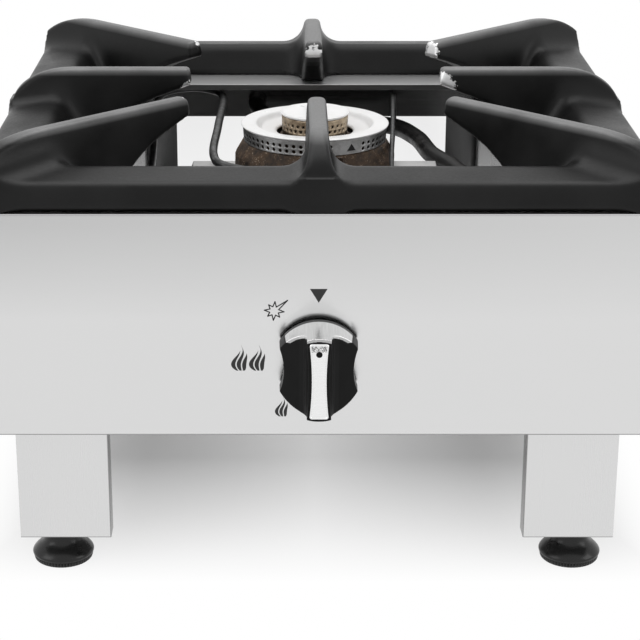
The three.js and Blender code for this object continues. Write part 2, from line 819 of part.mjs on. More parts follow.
place('pilot_bracket', cut(
  block([pilotX - 12, probeX + 12], [pilotY - 8, pilotY + 18], [lugZ, pilotPlateZ]),
  bar('z', [probeX, pilotY, 0], probeRadius + fitGap, lugZ - 1, pilotPlateZ + 1, 12),
), zincSteel);

place('pilot_burner', turned([
  [0, pilotPlateZ],
  [pilotRadius, pilotPlateZ],
  [pilotRadius, pilotPlateZ + pilotHeight - 4],
  [pilotRadius - 2, pilotPlateZ + pilotHeight],
  [0, pilotPlateZ + pilotHeight],
], [pilotX, pilotY, 0], 16), brass);

// from the valve back beside the left runner, up at the rear and forward to the pilot
const tubeX = -95;
const riserX = -runnerX - 22;
place('pilot_tube', tube([
  [-valveHalf - fitGap, pipeY, knobZ + 8],
  [-52, pipeY, knobZ + 8],
  [-110, pipeY + 12, knobZ + 12],
  [riserX + 20, pipeY + 44, knobZ + 16],
  [riserX, pipeY + 96, knobZ + 20],
  [riserX, 0, knobZ + 24],
  [riserX, 170, knobZ + 32],
  [riserX, inner - 62, knobZ + 52],
  [riserX, inner - 50, knobZ + 80],
  [riserX + 10, inner - 52, knobZ + 104],
  [tubeX - 34, inner - 60, tubeZ + 3],
  [tubeX - 8, inner - 76, tubeZ + 3],
  [tubeX, 190, tubeZ + 3],
  [tubeX, 60, tubeZ + 4],
  [tubeX, -55, tubeZ + 4],
  [tubeX + 8, pilotY + 12, tubeZ + 4],
  [tubeX + 34, pilotY, tubeZ + 1],
  [pilotX - 22, pilotY, tubeZ],
  [pilotX - pilotRadius - fitGap, pilotY, tubeZ],
], pilotTubeRadius, 64), copperTube);

place('thermocouple', bar('z', [probeX, pilotY, 0], probeRadius, lugZ - 9, pilotPlateZ + 27, 12),
  zincSteel);

const leadX = 86;
const leadStartZ = lugZ - 9 - fitGap;
place('thermocouple_lead', tube([
  [probeX, pilotY, leadStartZ],
  [probeX + 1, pilotY, leadStartZ - 6],
  [probeX + 14, pilotY, leadStartZ - 12],
  [probeX + 38, pilotY, leadStartZ - 6],
  [leadX - 17, pilotY + 12, tubeZ - 8],
  [leadX - 15, pilotY + 45, tubeZ + 3],
  [leadX - 8, 60, tubeZ + 4],
  [leadX - 1, 190, tubeZ + 4],
  [leadX + 2, 232, tubeZ - 8],
  [leadX + 4, inner - 42, tubeZ - 36],
  [leadX + 2, inner - 50, knobZ + 42],
  [leadX, 190, knobZ + 24],
  [leadX - 6, 0, knobZ + 18],
  [leadX - 8, -150, knobZ + 10],
  [50, valveBack + 24, knobZ - 6],
  [20, valveBack + 26, knobZ - 8],
  [9, valveBack + 16, knobZ - 8],
  [8, valveBack + fitGap, knobZ - 8],
], leadRadius, 76, 6), copperTube);

// ---------- pot grate ----------

const barInner = half - barWidth;
const barTopZ = grateZ + barHeight - barSlope;   // at the outer edge
const fingerBlade = fingerWidth / 2;

function roundedSquare(halfSize, radius, steps) {
  const points = [];
  for (let corner = 0; corner < 4; corner++) {
    const start = corner * Math.PI / 2;
    const centre = new THREE.Vector2(halfSize - radius, halfSize - radius)
      .rotateAround(new THREE.Vector2(), start);
    for (let i = 0; i <= steps; i++) {
      const angle = start + (i / steps) * Math.PI / 2;
      points.push([centre.x + radius * Math.cos(angle), centre.y + radius * Math.sin(angle)]);
    }
  }
  return points;
}

// the square bar: a section of [inset, height] pairs carried round the plan
function squareBar(section, cornerSteps) {
  const smallest = 5;
  const loops = section.map(([inset, z]) => roundedSquare(
    half - inset, Math.max(barCorner - inset, smallest), cornerSteps).map(([x, y]) => [x, y, z]));
  const count = loops[0].length;
  const index = [];
  loops.forEach((_, i) => {
    const next = (i + 1) % loops.length;
    for (let j = 0; j < count; j++) {
      const along = (j + 1) % count;
      const [a, b, c, d] = [i * count + j, i * count + along, next * count + along, next * count + j];
      index.push(a, b, c, a, c, d);
    }
  });
  const geometry = new THREE.BufferGeometry();
  geometry.setAttribute('position', new THREE.Float32BufferAttribute(loops.flat(2), 3));
  geometry.setIndex(index);
  return toSolid(geometry);
}

function grateBar() {
  const top = grateZ + barHeight;
  return squareBar([
    [grateEdge / 2, grateZ],
    [0, grateZ + grateEdge],
    [0, barTopZ - grateEdge],
    [grateEdge, barTopZ],
    [barWidth - 2 * grateEdge, top],
    [barWidth - grateEdge / 2, top - grateEdge / 2],
    [barWidth, top - 2 * grateEdge],
    [barFoot, grateZ + grateEdge],
    [barFoot - grateEdge / 2, grateZ],
    [barFoot - barWall, grateZ],
    [barWidth - barWall - 1, top - barWall - 2],
    [barWall + 1, barTopZ - barWall],
    [barWall, grateZ],
  ], 4);
}

// One finger along +X. spread is 1 for a finger from the middle of a side and the square
// root of 2 for one from a corner.
function finger(spread) {
  const tip = fingerTip * spread;
  const root = barInner * spread;
  const end = (half - fingerSetback) * spread;
  const fall = end - fingerFall * spread;
  const fallSteps = 6;
  const top = [];
  for (let i = 0; i <= fallSteps; i++) {
    const angle = (i / fallSteps) * Math.PI / 2;
    top.push([fall + (end - fall) * Math.sin(angle), barTopZ + (potZ - barTopZ) * Math.cos(angle)]);
  }
  const side = outlineXZ([
    [end, grateZ + 1], ...top.reverse(),
    [tip + 2, potZ], [tip, potZ - 2],
    [tip, potZ - fingerTipHeight],
    ...fingerWeb.map(([run, depth]) => [tip + run, potZ - depth]),
    [tip + fingerWebRun, grateZ + 1],
  ].reverse(), [-fingerRootWidth, fingerRootWidth]);
  const w = fingerBlade;
  const blade = outlineXY([
    [tip, -w + 3], [tip + 3, -w], [end + 1, -w - 1.5],
    [end + 1, w + 1.5], [tip + 3, w], [tip, w - 3],
  ], [grateZ, potZ + 1]);
  const rootSide = outlineXZ([
    [root - 34, grateZ + 18], [root, grateZ + 1], [root + barWidth * 0.6, grateZ + 1],
    [root + barWidth * 0.6, barTopZ + 2], [root, grateZ + barHeight + 8], [root - 34, grateZ + 36],
  ], [-fingerRootWidth, fingerRootWidth]);
  const r = fingerRootWidth / 2;
  const flare = [[root - 34, w - 0.5], [root - 20, w + 1.5], [root - 9, w + 6], [root - 2, w + 13],
    [root + 2, r], [root + barWidth * 0.6, w]];
  const rootPlan = outlineXY([...flare.map(([x, y]) => [x, -y]), ...flare.reverse()],
    [grateZ, potZ]);
  return join(side.intersect(blade), rootSide.intersect(rootPlan));
}

function potGrate() {
  const sides = [0, 90, 180, 270].map((degrees) => turnZ(finger(1), degrees));
  const cornerFingers = [45, 135, 225, 315].map((degrees) => turnZ(finger(Math.SQRT2), degrees));
  return join(grateBar(), ...sides, ...cornerFingers);
}
place('pot_grate', potGrate(), castIron);

// the knob and the inlet elbow reach the same distance, so this is 0 unless one changes
model.position.y = (knobReach - inletReach) / 2;

export default model;
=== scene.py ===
# Looks for a low stock pot range: steel body on corner legs, crown burner, cast pot grate.
import math

import bmesh
import bpy
import numpy as np
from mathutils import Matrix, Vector, noise


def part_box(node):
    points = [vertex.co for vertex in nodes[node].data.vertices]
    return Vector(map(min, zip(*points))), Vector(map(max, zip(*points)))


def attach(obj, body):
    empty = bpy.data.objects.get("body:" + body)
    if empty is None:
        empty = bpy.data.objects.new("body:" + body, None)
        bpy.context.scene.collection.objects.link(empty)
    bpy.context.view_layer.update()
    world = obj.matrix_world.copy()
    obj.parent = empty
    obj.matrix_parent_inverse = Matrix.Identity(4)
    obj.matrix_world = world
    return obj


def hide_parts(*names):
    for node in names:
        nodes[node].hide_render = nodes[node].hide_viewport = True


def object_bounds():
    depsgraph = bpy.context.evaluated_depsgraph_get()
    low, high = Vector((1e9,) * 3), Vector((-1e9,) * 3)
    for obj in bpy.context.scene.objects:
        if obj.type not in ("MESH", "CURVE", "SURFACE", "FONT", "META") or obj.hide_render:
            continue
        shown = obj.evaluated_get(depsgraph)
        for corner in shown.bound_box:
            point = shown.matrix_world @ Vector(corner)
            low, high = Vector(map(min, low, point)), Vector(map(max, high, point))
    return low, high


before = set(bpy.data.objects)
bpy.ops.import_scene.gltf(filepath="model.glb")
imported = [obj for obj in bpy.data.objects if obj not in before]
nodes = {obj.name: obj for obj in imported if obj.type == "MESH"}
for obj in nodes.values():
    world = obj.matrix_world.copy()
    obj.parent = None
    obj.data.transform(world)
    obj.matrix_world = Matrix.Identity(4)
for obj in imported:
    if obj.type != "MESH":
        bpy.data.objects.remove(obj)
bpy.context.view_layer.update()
mm = 0.001
legCorners = ("front_left", "front_right", "rear_right", "rear_left")
print("frame loaded:", len(nodes), "nodes")


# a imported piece's lowest and highest corner, in mm
def boxOf(node):
    return [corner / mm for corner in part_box(node)]


stageLook = {
    "cameraPlace": (-23.85, -1772.6, 789.65),   # mm
    "cameraPitch": 20.0,                        # degrees below the horizon
    "focalPixels": 1895.0,
    "imageWidth": 640,
    "axisPixel": 290,                           # column of the photo that the lens axis meets
    "lamps": {                                  # place, aim and size in metres, power in watts
        "overheadSoftbox": ((-0.2, 0.5, 2.3), (0, 0, 0.2), (2.4, 1.8), 24),
        "leftSoftbox": ((-2.0, -1.2, 1.3), (0, 0, 0.25), (1.2, 1.6), 12),
        "rightFill": ((2.1, -0.9, 1.0), (0, 0, 0.2), (1.2, 1.2), 8),
    },
    "skyLight": 0.55,
    "floorTone": 0.92,
    "floorReach": 12.0,                         # metres from the middle to its edge
    # painted light: the floor's white glow is larger under the middle of the range than by the legs,
    # which lightens the middle of its shadow
    "floorLift": (0.44, 0.10),                  # plain white share under the range: middle, by the legs
    "legsAside": 0.17,                          # metres from the middle
    "shadowSides": (0.2, 0.33),                 # metres: from where to where the shadow fades
    "shadowFront": (-0.01, -0.28),
    "shadowRear": (1.45, 1.9),
}


def makeCamera():
    sensor = 36.0
    data = bpy.data.cameras.new("camera")
    data.sensor_width = sensor
    data.lens = stageLook["focalPixels"] / stageLook["imageWidth"] * sensor
    data.shift_x = 0.5 - stageLook["axisPixel"] / stageLook["imageWidth"]
    data.clip_start, data.clip_end = 0.05, 60
    camera = bpy.data.objects.new("camera", data)
    bpy.context.collection.objects.link(camera)
    camera.location = [c * mm for c in stageLook["cameraPlace"]]
    camera.rotation_euler = (math.radians(90 - stageLook["cameraPitch"]), 0, 0)
    bpy.context.scene.camera = camera


def areaLamp(name, spot, aim, size, power):
    data = bpy.data.lights.new(name, "AREA")
    data.shape = "RECTANGLE"
    data.size, data.size_y = size
    data.energy = power
    lamp = bpy.data.objects.new(name, data)
    bpy.context.collection.objects.link(lamp)
    lamp.location = spot
    lamp.rotation_euler = (Vector(aim) - Vector(spot)).to_track_quat("-Z", "Y").to_euler()


makeCamera()
for name, facts in stageLook["lamps"].items():
    areaLamp(name, *facts)


# a new node; an input is linked where it is given a socket, and set where it is given a value
def put(tree, kind, inputs=None, **settings):
    node = tree.nodes.new(kind)
    for key, value in settings.items():
        setattr(node, key, value)
    for socket, value in (inputs or {}).items():
        if isinstance(value, bpy.types.NodeSocket):
            tree.links.new(value, node.inputs[socket])
        else:
            node.inputs[socket].default_value = value
    return node


def place(tree):
    return put(tree, "ShaderNodeTexCoord").outputs["Object"]


def split(tree, vector):
    return put(tree, "ShaderNodeSeparateXYZ", {0: vector}).outputs


def stretched(tree, scale):
    return put(tree, "ShaderNodeMapping", {"Vector": place(tree), "Scale": scale}).outputs["Vector"]


def noiseAt(tree, where, scale, detail=3.0, roughness=0.55):
    inputs = {"Vector": where, "Scale": scale, "Detail": detail, "Roughness": roughness}
    return put(tree, "ShaderNodeTexNoise", inputs).outputs["Fac"]


# values from low to high become values from outLow to outHigh, and stay within them
def spread(tree, value, low, high, outLow=0.0, outHigh=1.0, **settings):
    inputs = {"Value": value, "From Min": low, "From Max": high, "To Min": outLow, "To Max": outHigh}
    return put(tree, "ShaderNodeMapRange", inputs, **settings).outputs["Result"]


# the same operation on the first value with each of the others in turn
def chain(tree, operation, first, *others):
    for other in others:
        first = put(tree, "ShaderNodeMath", {0: first, 1: other}, operation=operation).outputs[0]
    return first


def absolute(tree, value):
    return chain(tree, "ABSOLUTE", value, 0.0)


def blendColour(tree, factor, first, second, mode="MIX"):
    inputs = {0: factor, 6: first, 7: second}
    return put(tree, "ShaderNodeMix", inputs, data_type="RGBA", blend_type=mode).outputs[2]


def shaded(tree, colour, share):
    tone = put(tree, "ShaderNodeCombineColor", {0: share, 1: share, 2: share}).outputs[0]
    return blendColour(tree, 1.0, colour, tone, "MULTIPLY")


def bump(tree, height, distance, strength):
    inputs = {"Height": height, "Distance": distance, "Strength": strength}
    return put(tree, "ShaderNodeBump", inputs).outputs["Normal"]


def grey(level, warm=0.0):
    return (level * (1 + warm), level, level * (1 - warm), 1)


def surface(name, metallic, roughness, specular=0.5):
    material = bpy.data.materials.new(name)
    material.use_nodes = True
    shader = material.node_tree.nodes["Principled BSDF"]
    shader.inputs["Metallic"].default_value = metallic
    shader.inputs["Roughness"].default_value = roughness
    shader.inputs["Specular IOR Level"].default_value = specular
    return material, material.node_tree, shader


def feed(tree, shader, colour=None, rough=None, normal=None, metallic=None):
    values = {"Base Color": colour, "Roughness": rough, "Normal": normal, "Metallic": metallic}
    for socket, value in values.items():
        if value is not None:
            tree.links.new(value, shader.inputs[socket])


print("material tools ready")


# cloudy noise mixes two colours and moves the roughness; it or a finer grain lifts the surface
def clouded(name, metal, clouds, mix, colours, rough, specular=0.5, grain=None, relief=None):
    material, tree, shader = surface(name, metal, rough[0], specular)
    cloudy = noiseAt(tree, place(tree), *clouds)
    normal = None
    if relief:
        normal = bump(tree, noiseAt(tree, place(tree), *grain) if grain else cloudy, *relief)
    feed(tree, shader, blendColour(tree, spread(tree, cloudy, *mix), *colours),
         spread(tree, cloudy, 0.3, 0.7, *rough), normal)
    return material


# clouds and grain: scale, detail, roughness of the noise; mix: where in it the colours blend
# relief: depth in metres, strength
brassWear = {"metal": 1.0, "clouds": (60.0, 6.0, 0.65), "mix": (0.35, 0.65),
             "grain": (700.0, 2.0), "relief": (0.00008, 0.3)}
plasticWear = {"metal": 0.0, "clouds": (45.0, 4.0), "mix": (0.35, 0.75),
               "grain": (1400.0, 2.0), "relief": (0.00004, 0.25)}
cloudedLooks = {
    "plain_steel": {"name": "millSheet", "metal": 1.0, "clouds": (22.0, 5.0), "mix": (0.3, 0.7),
                    "colours": (grey(0.5), grey(0.56, 0.01)), "rough": (0.36, 0.44)},
    "zinc_steel": {"name": "zincPlate", "metal": 1.0, "clouds": (160.0, 3.0), "mix": (0.3, 0.7),
                   "colours": (grey(0.5, 0.02), grey(0.7)), "rough": (0.28, 0.48)},
    "brass": {"name": "dullBrass", **brassWear, "rough": (0.32, 0.55),
              "colours": ((0.16, 0.10, 0.05, 1), (0.58, 0.45, 0.26, 1))},
    "crown_brass": {"name": "crownBrass", **brassWear, "rough": (0.30, 0.53),
                    "colours": ((0.10, 0.07, 0.045, 1), (0.50, 0.41, 0.30, 1))},
    "black_plastic": {"name": "blackPlastic", **plasticWear, "specular": 0.12, "rough": (0.28, 0.42),
                      "colours": (grey(0.004), grey(0.0068))},
    "foot_plastic": {"name": "footPlastic", **plasticWear, "specular": 0.35, "rough": (0.20, 0.34),
                     "colours": (grey(0.006), grey(0.0102))},
    "dark_pipe": {"name": "blackPipe", "metal": 0.1, "specular": 0.2, "clouds": (90.0, 5.0),
                  "mix": (0.35, 0.7), "colours": (grey(0.006), grey(0.022, 0.05)),
                  "rough": (0.34, 0.55), "relief": (0.0002, 0.3)},
    "small_tube": {"name": "drawnTube", "metal": 0.7, "clouds": (120.0, 5.0), "mix": (0.35, 0.7),
                   "colours": (grey(0.055), grey(0.03)), "rough": (0.28, 0.48)},
    # parts that stand in the flame's heat: dark brown scale
    "sooted": {"name": "sooted", "metal": 0.3, "specular": 0.3, "clouds": (260.0, 5.0, 0.65),
               "mix": (0.35, 0.68), "colours": ((0.012, 0.008, 0.006, 1), (0.08, 0.05, 0.032, 1)),
               "rough": (0.6, 0.85), "relief": (0.0003, 0.4)},
}
finish = {look: clouded(**facts) for look, facts in cloudedLooks.items()}


sheetLook = {                                # mm
    "streaks": (650.0, 5.0),                 # noise scale across and along the brushing
    "foldReach": 1.1,                        # the dark line lies this far to both sides of a fold
    "foldDark": 0.62,
    # painted shade on the body's outside towards its top, and on the faces inside the body
    "paintedTopShade": (335, 250, 0.17),                # darkest from this height up, none below that one; share
    "paintedShadeAcross": (-290, 290, 1.45, 0.7),    # times this at the left side, and that at the right
    "insideHalf": 288.9, "insideTop": 341.1,
    "paintedInsideShade": 0.19,
}


# a darker line where the sheet folds or ends; each fold is a list of (axis, place in mm)
def foldShade(tree, folds):
    ways = split(tree, place(tree))
    reach = sheetLook["foldReach"] * mm
    lines = []
    for fold in folds:
        gaps = [absolute(tree, chain(tree, "SUBTRACT", absolute(tree, ways["XYZ".index(axis)]), at * mm))
                for axis, at in fold]
        lines.append(spread(tree, chain(tree, "MAXIMUM", *gaps), 0.4 * reach, reach, 1.0, 0.0))
    return spread(tree, chain(tree, "MAXIMUM", *lines), 0.0, 1.0, 1.0, 1.0 - sheetLook["foldDark"])


# painted shade: the body's outside darkens towards its top, more at its left side than at its right, and
# the faces inside it are painted dull and dark as shade
def paintedBodyShade(tree, colour):
    x, y, z = split(tree, place(tree))
    top, foot, most = sheetLook["paintedTopShade"]
    left, right, more, less = sheetLook["paintedShadeAcross"]
    # painted shade: darker towards the top, more at the left
    paintedTopShade = chain(tree, "MULTIPLY", spread(tree, z, top * mm, foot * mm, most, 0.0),
                 spread(tree, x, left * mm, right * mm, more, less))
    colour = shaded(tree, colour, chain(tree, "SUBTRACT", 1.0, paintedTopShade))
    within = [chain(tree, "LESS_THAN", z, sheetLook["insideTop"] * mm)]
    for way in (x, y):
        within.append(chain(tree, "LESS_THAN", absolute(tree, way), sheetLook["insideHalf"] * mm))
    # painted shade: the faces inside the body get a dark tone
    return blendColour(tree, chain(tree, "MULTIPLY", *within), colour, grey(sheetLook["paintedInsideShade"]))


# brushed sheet: long fine streaks along one axis, faint cloudy tone over them
def brushedSheet(name, grain, tone, rough, folds, streak=0.045, relief=0.3, body=True):
    material, tree, shader = surface(name, 1.0, rough)
    across, along = sheetLook["streaks"]
    scale = [along if axis == grain else across for axis in "XYZ"]
    lines = noiseAt(tree, stretched(tree, scale), 1.0, 4.0, 0.7)
    mixed = chain(tree, "ADD", spread(tree, lines, 0.3, 0.7, -streak, streak),
                  spread(tree, noiseAt(tree, place(tree), 7.0, 3.0), 0.3, 0.7, -0.02, 0.02), 0.5)
    colour = blendColour(tree, mixed, grey(tone * 0.88), grey(tone * 1.08))
    if body:
        colour = paintedBodyShade(tree, colour)
    feed(tree, shader, shaded(tree, colour, foldShade(tree, folds)),
         spread(tree, lines, 0.25, 0.75, rough - streak, rough + streak),
         bump(tree, lines, 0.00002, relief))
    return material


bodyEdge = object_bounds()[1].x / mm
legInner = boxOf("leg_front_right")[0]
bodyCorner = [("X", bodyEdge), ("Y", bodyEdge)]
bodyFolds = [bodyCorner, [("Z", boxOf("front_panel")[0].z)]]
legFolds = [bodyCorner, [("X", legInner.x)], [("Y", legInner.x)], [("Z", legInner.z)]]
finish["brushed_panel"] = brushedSheet("brushedPanel", "X", 0.72, 0.2, bodyFolds)
finish["top_sheet"] = brushedSheet("brushedTop", "X", 0.74, 0.36, bodyFolds)
finish["side_sheet"] = brushedSheet("brushedSide", "Y", 0.72, 0.2, bodyFolds)
finish["leg_steel"] = brushedSheet("brushedLeg", "Z", 0.71, 0.27, legFolds,
                                   streak=0.01, relief=0.004, body=False)


castIronLook = {           # mm
    "wornTips": [          # where the bare metal shows: centre, radius
        ((104, 104, 391), 24.5), ((113, -13, 379), 21), ((-113, -11, 375), 16), ((0, 99, 384), 23.5),
        ((-116, 120, 398), 4.5), ((-118, -121, 399), 3),
    ],
    "wornEdge": 1.4,       # width of a worn place's edge, and how far noise moves it
    "ragged": 2.6,
    "ridgeSheenAndWear": (393, 399.5),     # the ridges are painted a lighter grey from here up to there: wear with a painted sheen
}


def castIron(facts):
    material, tree, shader = surface("castIron", 0.0, 0.42, 0.2)
    where = place(tree)
    cloudy = noiseAt(tree, where, 16.0, 5.0)
    sandy = noiseAt(tree, where, 420.0, 3.0, 0.6)
    ragged = facts["ragged"] * mm
    torn = spread(tree, noiseAt(tree, where, 300.0, 4.0), 0.3, 0.7, -ragged, ragged)
    spots = []
    for centre, radius in facts["wornTips"]:
        inputs = {0: where, 1: [c * mm for c in centre]}
        gap = put(tree, "ShaderNodeVectorMath", inputs, operation="DISTANCE").outputs["Value"]
        spots.append(spread(tree, chain(tree, "ADD", gap, torn), radius * mm,
                            (radius - facts["wornEdge"]) * mm))
    worn = chain(tree, "MAXIMUM", *spots)
    # painted sheen with wear: the ridge tops turn lighter grey and more metallic
    low, high = facts["ridgeSheenAndWear"]
    ridgeSheenAndWear = chain(tree, "MULTIPLY", spread(tree, split(tree, where)[2], low * mm, high * mm),
                   spread(tree, cloudy, 0.3, 0.7, 0.5, 1.0))
    colour = blendColour(tree, spread(tree, cloudy, 0.35, 0.7), grey(0.003), grey(0.009))
    colour = blendColour(tree, ridgeSheenAndWear, colour, grey(0.22))
    uneven = chain(tree, "ADD", cloudy, spread(tree, sandy, 0.3, 0.7, -0.1, 0.1))
    feed(tree, shader, blendColour(tree, worn, colour, grey(0.8)),
         spread(tree, uneven, 0.3, 0.75, 0.3, 0.5), bump(tree, sandy, 0.0002, 0.35),
         chain(tree, "MAXIMUM", worn, chain(tree, "MULTIPLY", ridgeSheenAndWear, 0.6)))
    return material


def enamel():
    material, tree, shader = surface("whiteEnamel", 0.0, 0.32)
    shader.inputs["Coat Weight"].default_value = 0.3
    shader.inputs["Coat Roughness"].default_value = 0.15
    haze = noiseAt(tree, place(tree), 34.0, 4.0)
    specks = noiseAt(tree, place(tree), 520.0, 2.0)
    clean = blendColour(tree, spread(tree, haze, 0.35, 0.7), grey(0.87), grey(0.8, 0.012))
    feed(tree, shader, blendColour(tree, spread(tree, specks, 0.72, 0.8), clean, grey(0.4, 0.1)),
         spread(tree, haze, 0.3, 0.7, 0.26, 0.42),
         bump(tree, noiseAt(tree, place(tree), 90.0, 2.0), 0.0001, 0.2))
    return material


# painted shade: the crown's wall darkens towards its sides
crownSideShade = (44, 60, 0.16)     # mm aside where the crown's wall starts and ends darkening, its share


def heatedSteelSideShade(lit, dark, least):
    material, tree, shader = surface("heatedSteelSideShade", 0.35, 0.38)
    stains = noiseAt(tree, place(tree), 42.0, 6.0, 0.65)
    rings = noiseAt(tree, stretched(tree, (8, 8, 900)), 1.0, 2.0)
    colour = blendColour(tree, spread(tree, stains, 0.4, 0.7), grey(0.86), grey(0.26, 0.03))
    # painted shade: darker past lit mm from the middle, down to the least share at dark mm; the stains
    # are heat tint
    away = absolute(tree, split(tree, place(tree))[0])
    feed(tree, shader, shaded(tree, colour, spread(tree, away, lit * mm, dark * mm, 1.0, least)),
         spread(tree, stains, 0.3, 0.7, 0.3, 0.5), bump(tree, rings, 0.00004, 0.3))
    return material


def brownedCasting():
    material, tree, shader = surface("brownedCasting", 0.3, 0.75)
    where = place(tree)
    rust = noiseAt(tree, where, 110.0, 7.0, 0.7)
    flakes = chain(tree, "ADD", noiseAt(tree, where, 620.0, 3.0, 0.6), chain(tree, "MULTIPLY", rust, 0.5))
    brown = blendColour(tree, spread(tree, rust, 0.35, 0.68),
                        (0.014, 0.009, 0.006, 1), (0.13, 0.083, 0.052, 1))
    feed(tree, shader,
         blendColour(tree, spread(tree, flakes, 0.88, 0.96), brown, (0.42, 0.34, 0.26, 1)),
         spread(tree, rust, 0.3, 0.7, 0.6, 0.9), bump(tree, rust, 0.0012, 0.5))
    return material


# the stippled patch near the top of the knob's plate, in mm
platePatch = {"halfWide": 6.2, "foot": (238.8, 239.8), "top": (244.8, 244.0), "deep": 1.0}


def satinCoat(patch):
    material, tree, shader = surface("satinSilver", 1.0, 0.26)
    lines = noiseAt(tree, stretched(tree, (5, 900, 900)), 1.0, 3.0)
    silver = blendColour(tree, spread(tree, lines, 0.3, 0.7), grey(0.82), grey(0.88))
    x, y, z = split(tree, place(tree))
    front = boxOf("knob_insert")[0].y
    stipple = chain(tree, "MULTIPLY",
                    chain(tree, "LESS_THAN", absolute(tree, x), patch["halfWide"] * mm),
                    chain(tree, "LESS_THAN", y, (front + patch["deep"]) * mm),
                    spread(tree, z, *(height * mm for height in patch["foot"])),
                    spread(tree, z, *(height * mm for height in patch["top"])),
                    spread(tree, noiseAt(tree, place(tree), 1500.0, 2.0), 0.4, 0.56))
    feed(tree, shader, blendColour(tree, stipple, silver, grey(0.16)),
         spread(tree, lines, 0.3, 0.7, 0.24, 0.3))
    return material


# the bright sleeve's dark parts: its rear rim and its ends in mm; and painted shade: black on the faces
# that look down and, half as dark, on those that look forward, by their direction
sleeveShade = {"rearRim": (4.5, 5.2), "ends": (34, 27), "down": (-0.6, -0.3), "forward": (-0.9, -0.5)}


def sleeveSilver(shade):
    material, tree, shader = surface("sleeveSilver", 1.0, 0.27)
    lines = noiseAt(tree, stretched(tree, (900, 5, 900)), 1.0, 3.0)
    coordinates = put(tree, "ShaderNodeTexCoord").outputs
    x, y, z = split(tree, coordinates["Object"])
    facing = split(tree, coordinates["Normal"])
    rear = boxOf("knob_band")[1].y
    # silver share: the rear rim and the ends turn black, and painted shade blackens the faces that look
    # down
    bright = chain(tree, "MULTIPLY",
                   spread(tree, y, *((rear - inset) * mm for inset in shade["rearRim"])),
                   spread(tree, facing[2], *shade["down"]),
                   spread(tree, absolute(tree, x), *(end * mm for end in shade["ends"])))
    silver = blendColour(tree, spread(tree, lines, 0.3, 0.7), grey(0.8), grey(0.92))
    # painted shade: the faces that look forward are half as dark
    silver = shaded(tree, silver, spread(tree, facing[1], *shade["forward"], 0.5, 1.0))
    feed(tree, shader, blendColour(tree, bright, grey(0.01), silver),
         metallic=spread(tree, bright, 0.0, 1.0, 0.3, 1.0))
    return material


def printInk():
    material, tree, shader = surface("darkPrint", 0.0, 0.45, 0.3)
    shader.inputs["Base Color"].default_value = grey(0.032)
    feed(tree, shader, rough=spread(tree, noiseAt(tree, place(tree), 300.0), 0.3, 0.7, 0.4, 0.55))
    return material


finish["cast_iron_enamel"] = castIron(castIronLook)
finish["white_enamel"] = enamel()
finish["heated_steel"] = heatedSteelSideShade(*crownSideShade)
finish["burner_casting"] = brownedCasting()
finish["satin_silver"] = satinCoat(platePatch)
finish["sleeve_silver"] = sleeveSilver(sleeveShade)
finish["print"] = printInk()
print("finishes made:", len(finish))


# a new piece from points in mm
def meshPiece(name, points, faces, look, body, stands=(), smooth=40.0):
    mesh = bpy.data.meshes.new(name)
    mesh.from_pydata([Vector(p) * mm for p in points], [], faces)
    return finishPiece(name, mesh, look, body, stands, smooth)


def finishPiece(name, mesh, look, body, stands=(), smooth=40.0):
    shape = bmesh.new()
    shape.from_mesh(mesh)
    bmesh.ops.remove_doubles(shape, verts=shape.verts, dist=0.000002)
    bmesh.ops.recalc_face_normals(shape, faces=shape.faces)
    shape.to_mesh(mesh)
    shape.free()
    mesh.materials.clear()
    mesh.materials.append(finish[look])
    mesh.shade_smooth()
    mesh.set_sharp_from_angle(angle=math.radians(smooth))
    piece = bpy.data.objects.new(name, mesh)
    bpy.context.collection.objects.link(piece)
    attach(piece, body)
    if stands:
        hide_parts(*stands)
    return piece


packedMesh = {"merge": 0.01, "flat": 0.5, "sharp": 32}     # mm, degrees, degrees


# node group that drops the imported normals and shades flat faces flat, round ones round
def shadingGroup():
    group = bpy.data.node_groups.new("cleanShading", "GeometryNodeTree")
    for way in ("INPUT", "OUTPUT"):
        group.interface.new_socket("Geometry", in_out=way, socket_type="NodeSocketGeometry")
    start, end = group.nodes.new("NodeGroupInput"), group.nodes.new("NodeGroupOutput")
    bare = put(group, "GeometryNodeRemoveAttribute",
               {"Geometry": start.outputs[0], "Name": "custom_normal"})
    soft = put(group, "GeometryNodeSetShadeSmooth",
               {"Geometry": bare.outputs["Geometry"], "Shade Smooth": True}, domain="FACE")
    angle = put(group, "GeometryNodeInputMeshEdgeAngle").outputs["Unsigned Angle"]
    sharp = put(group, "FunctionNodeCompare", {0: angle, 1: math.radians(packedMesh["sharp"])},
                data_type="FLOAT", operation="GREATER_THAN").outputs[0]
    parted = put(group, "GeometryNodeSetShadeSmooth",
                 {"Geometry": soft.outputs["Geometry"], "Selection": sharp, "Shade Smooth": False},
                 domain="EDGE")
    group.links.new(parted.outputs["Geometry"], end.inputs[0])
    return group


cleanShading = shadingGroup()


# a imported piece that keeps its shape: merged, its flat faces joined, edges broken, new finish
def dress(node, look, edge):
    piece = nodes[node]
    piece.data.materials.clear()
    piece.data.materials.append(finish[look])
    piece.modifiers.new("merge", "WELD").merge_threshold = packedMesh["merge"] * mm
    flat = piece.modifiers.new("flats", "DECIMATE")
    flat.decimate_type = "DISSOLVE"
    flat.angle_limit = math.radians(packedMesh["flat"])
    broken = piece.modifiers.new("edges", "BEVEL")
    broken.width, broken.segments = edge * mm, 2
    broken.limit_method = "ANGLE"
    broken.angle_limit = math.radians(packedMesh["sharp"])
    piece.modifiers.new("shading", "NODES").node_group = cleanShading
    piece.modifiers.new("normals", "WEIGHTED_NORMAL").keep_sharp = True


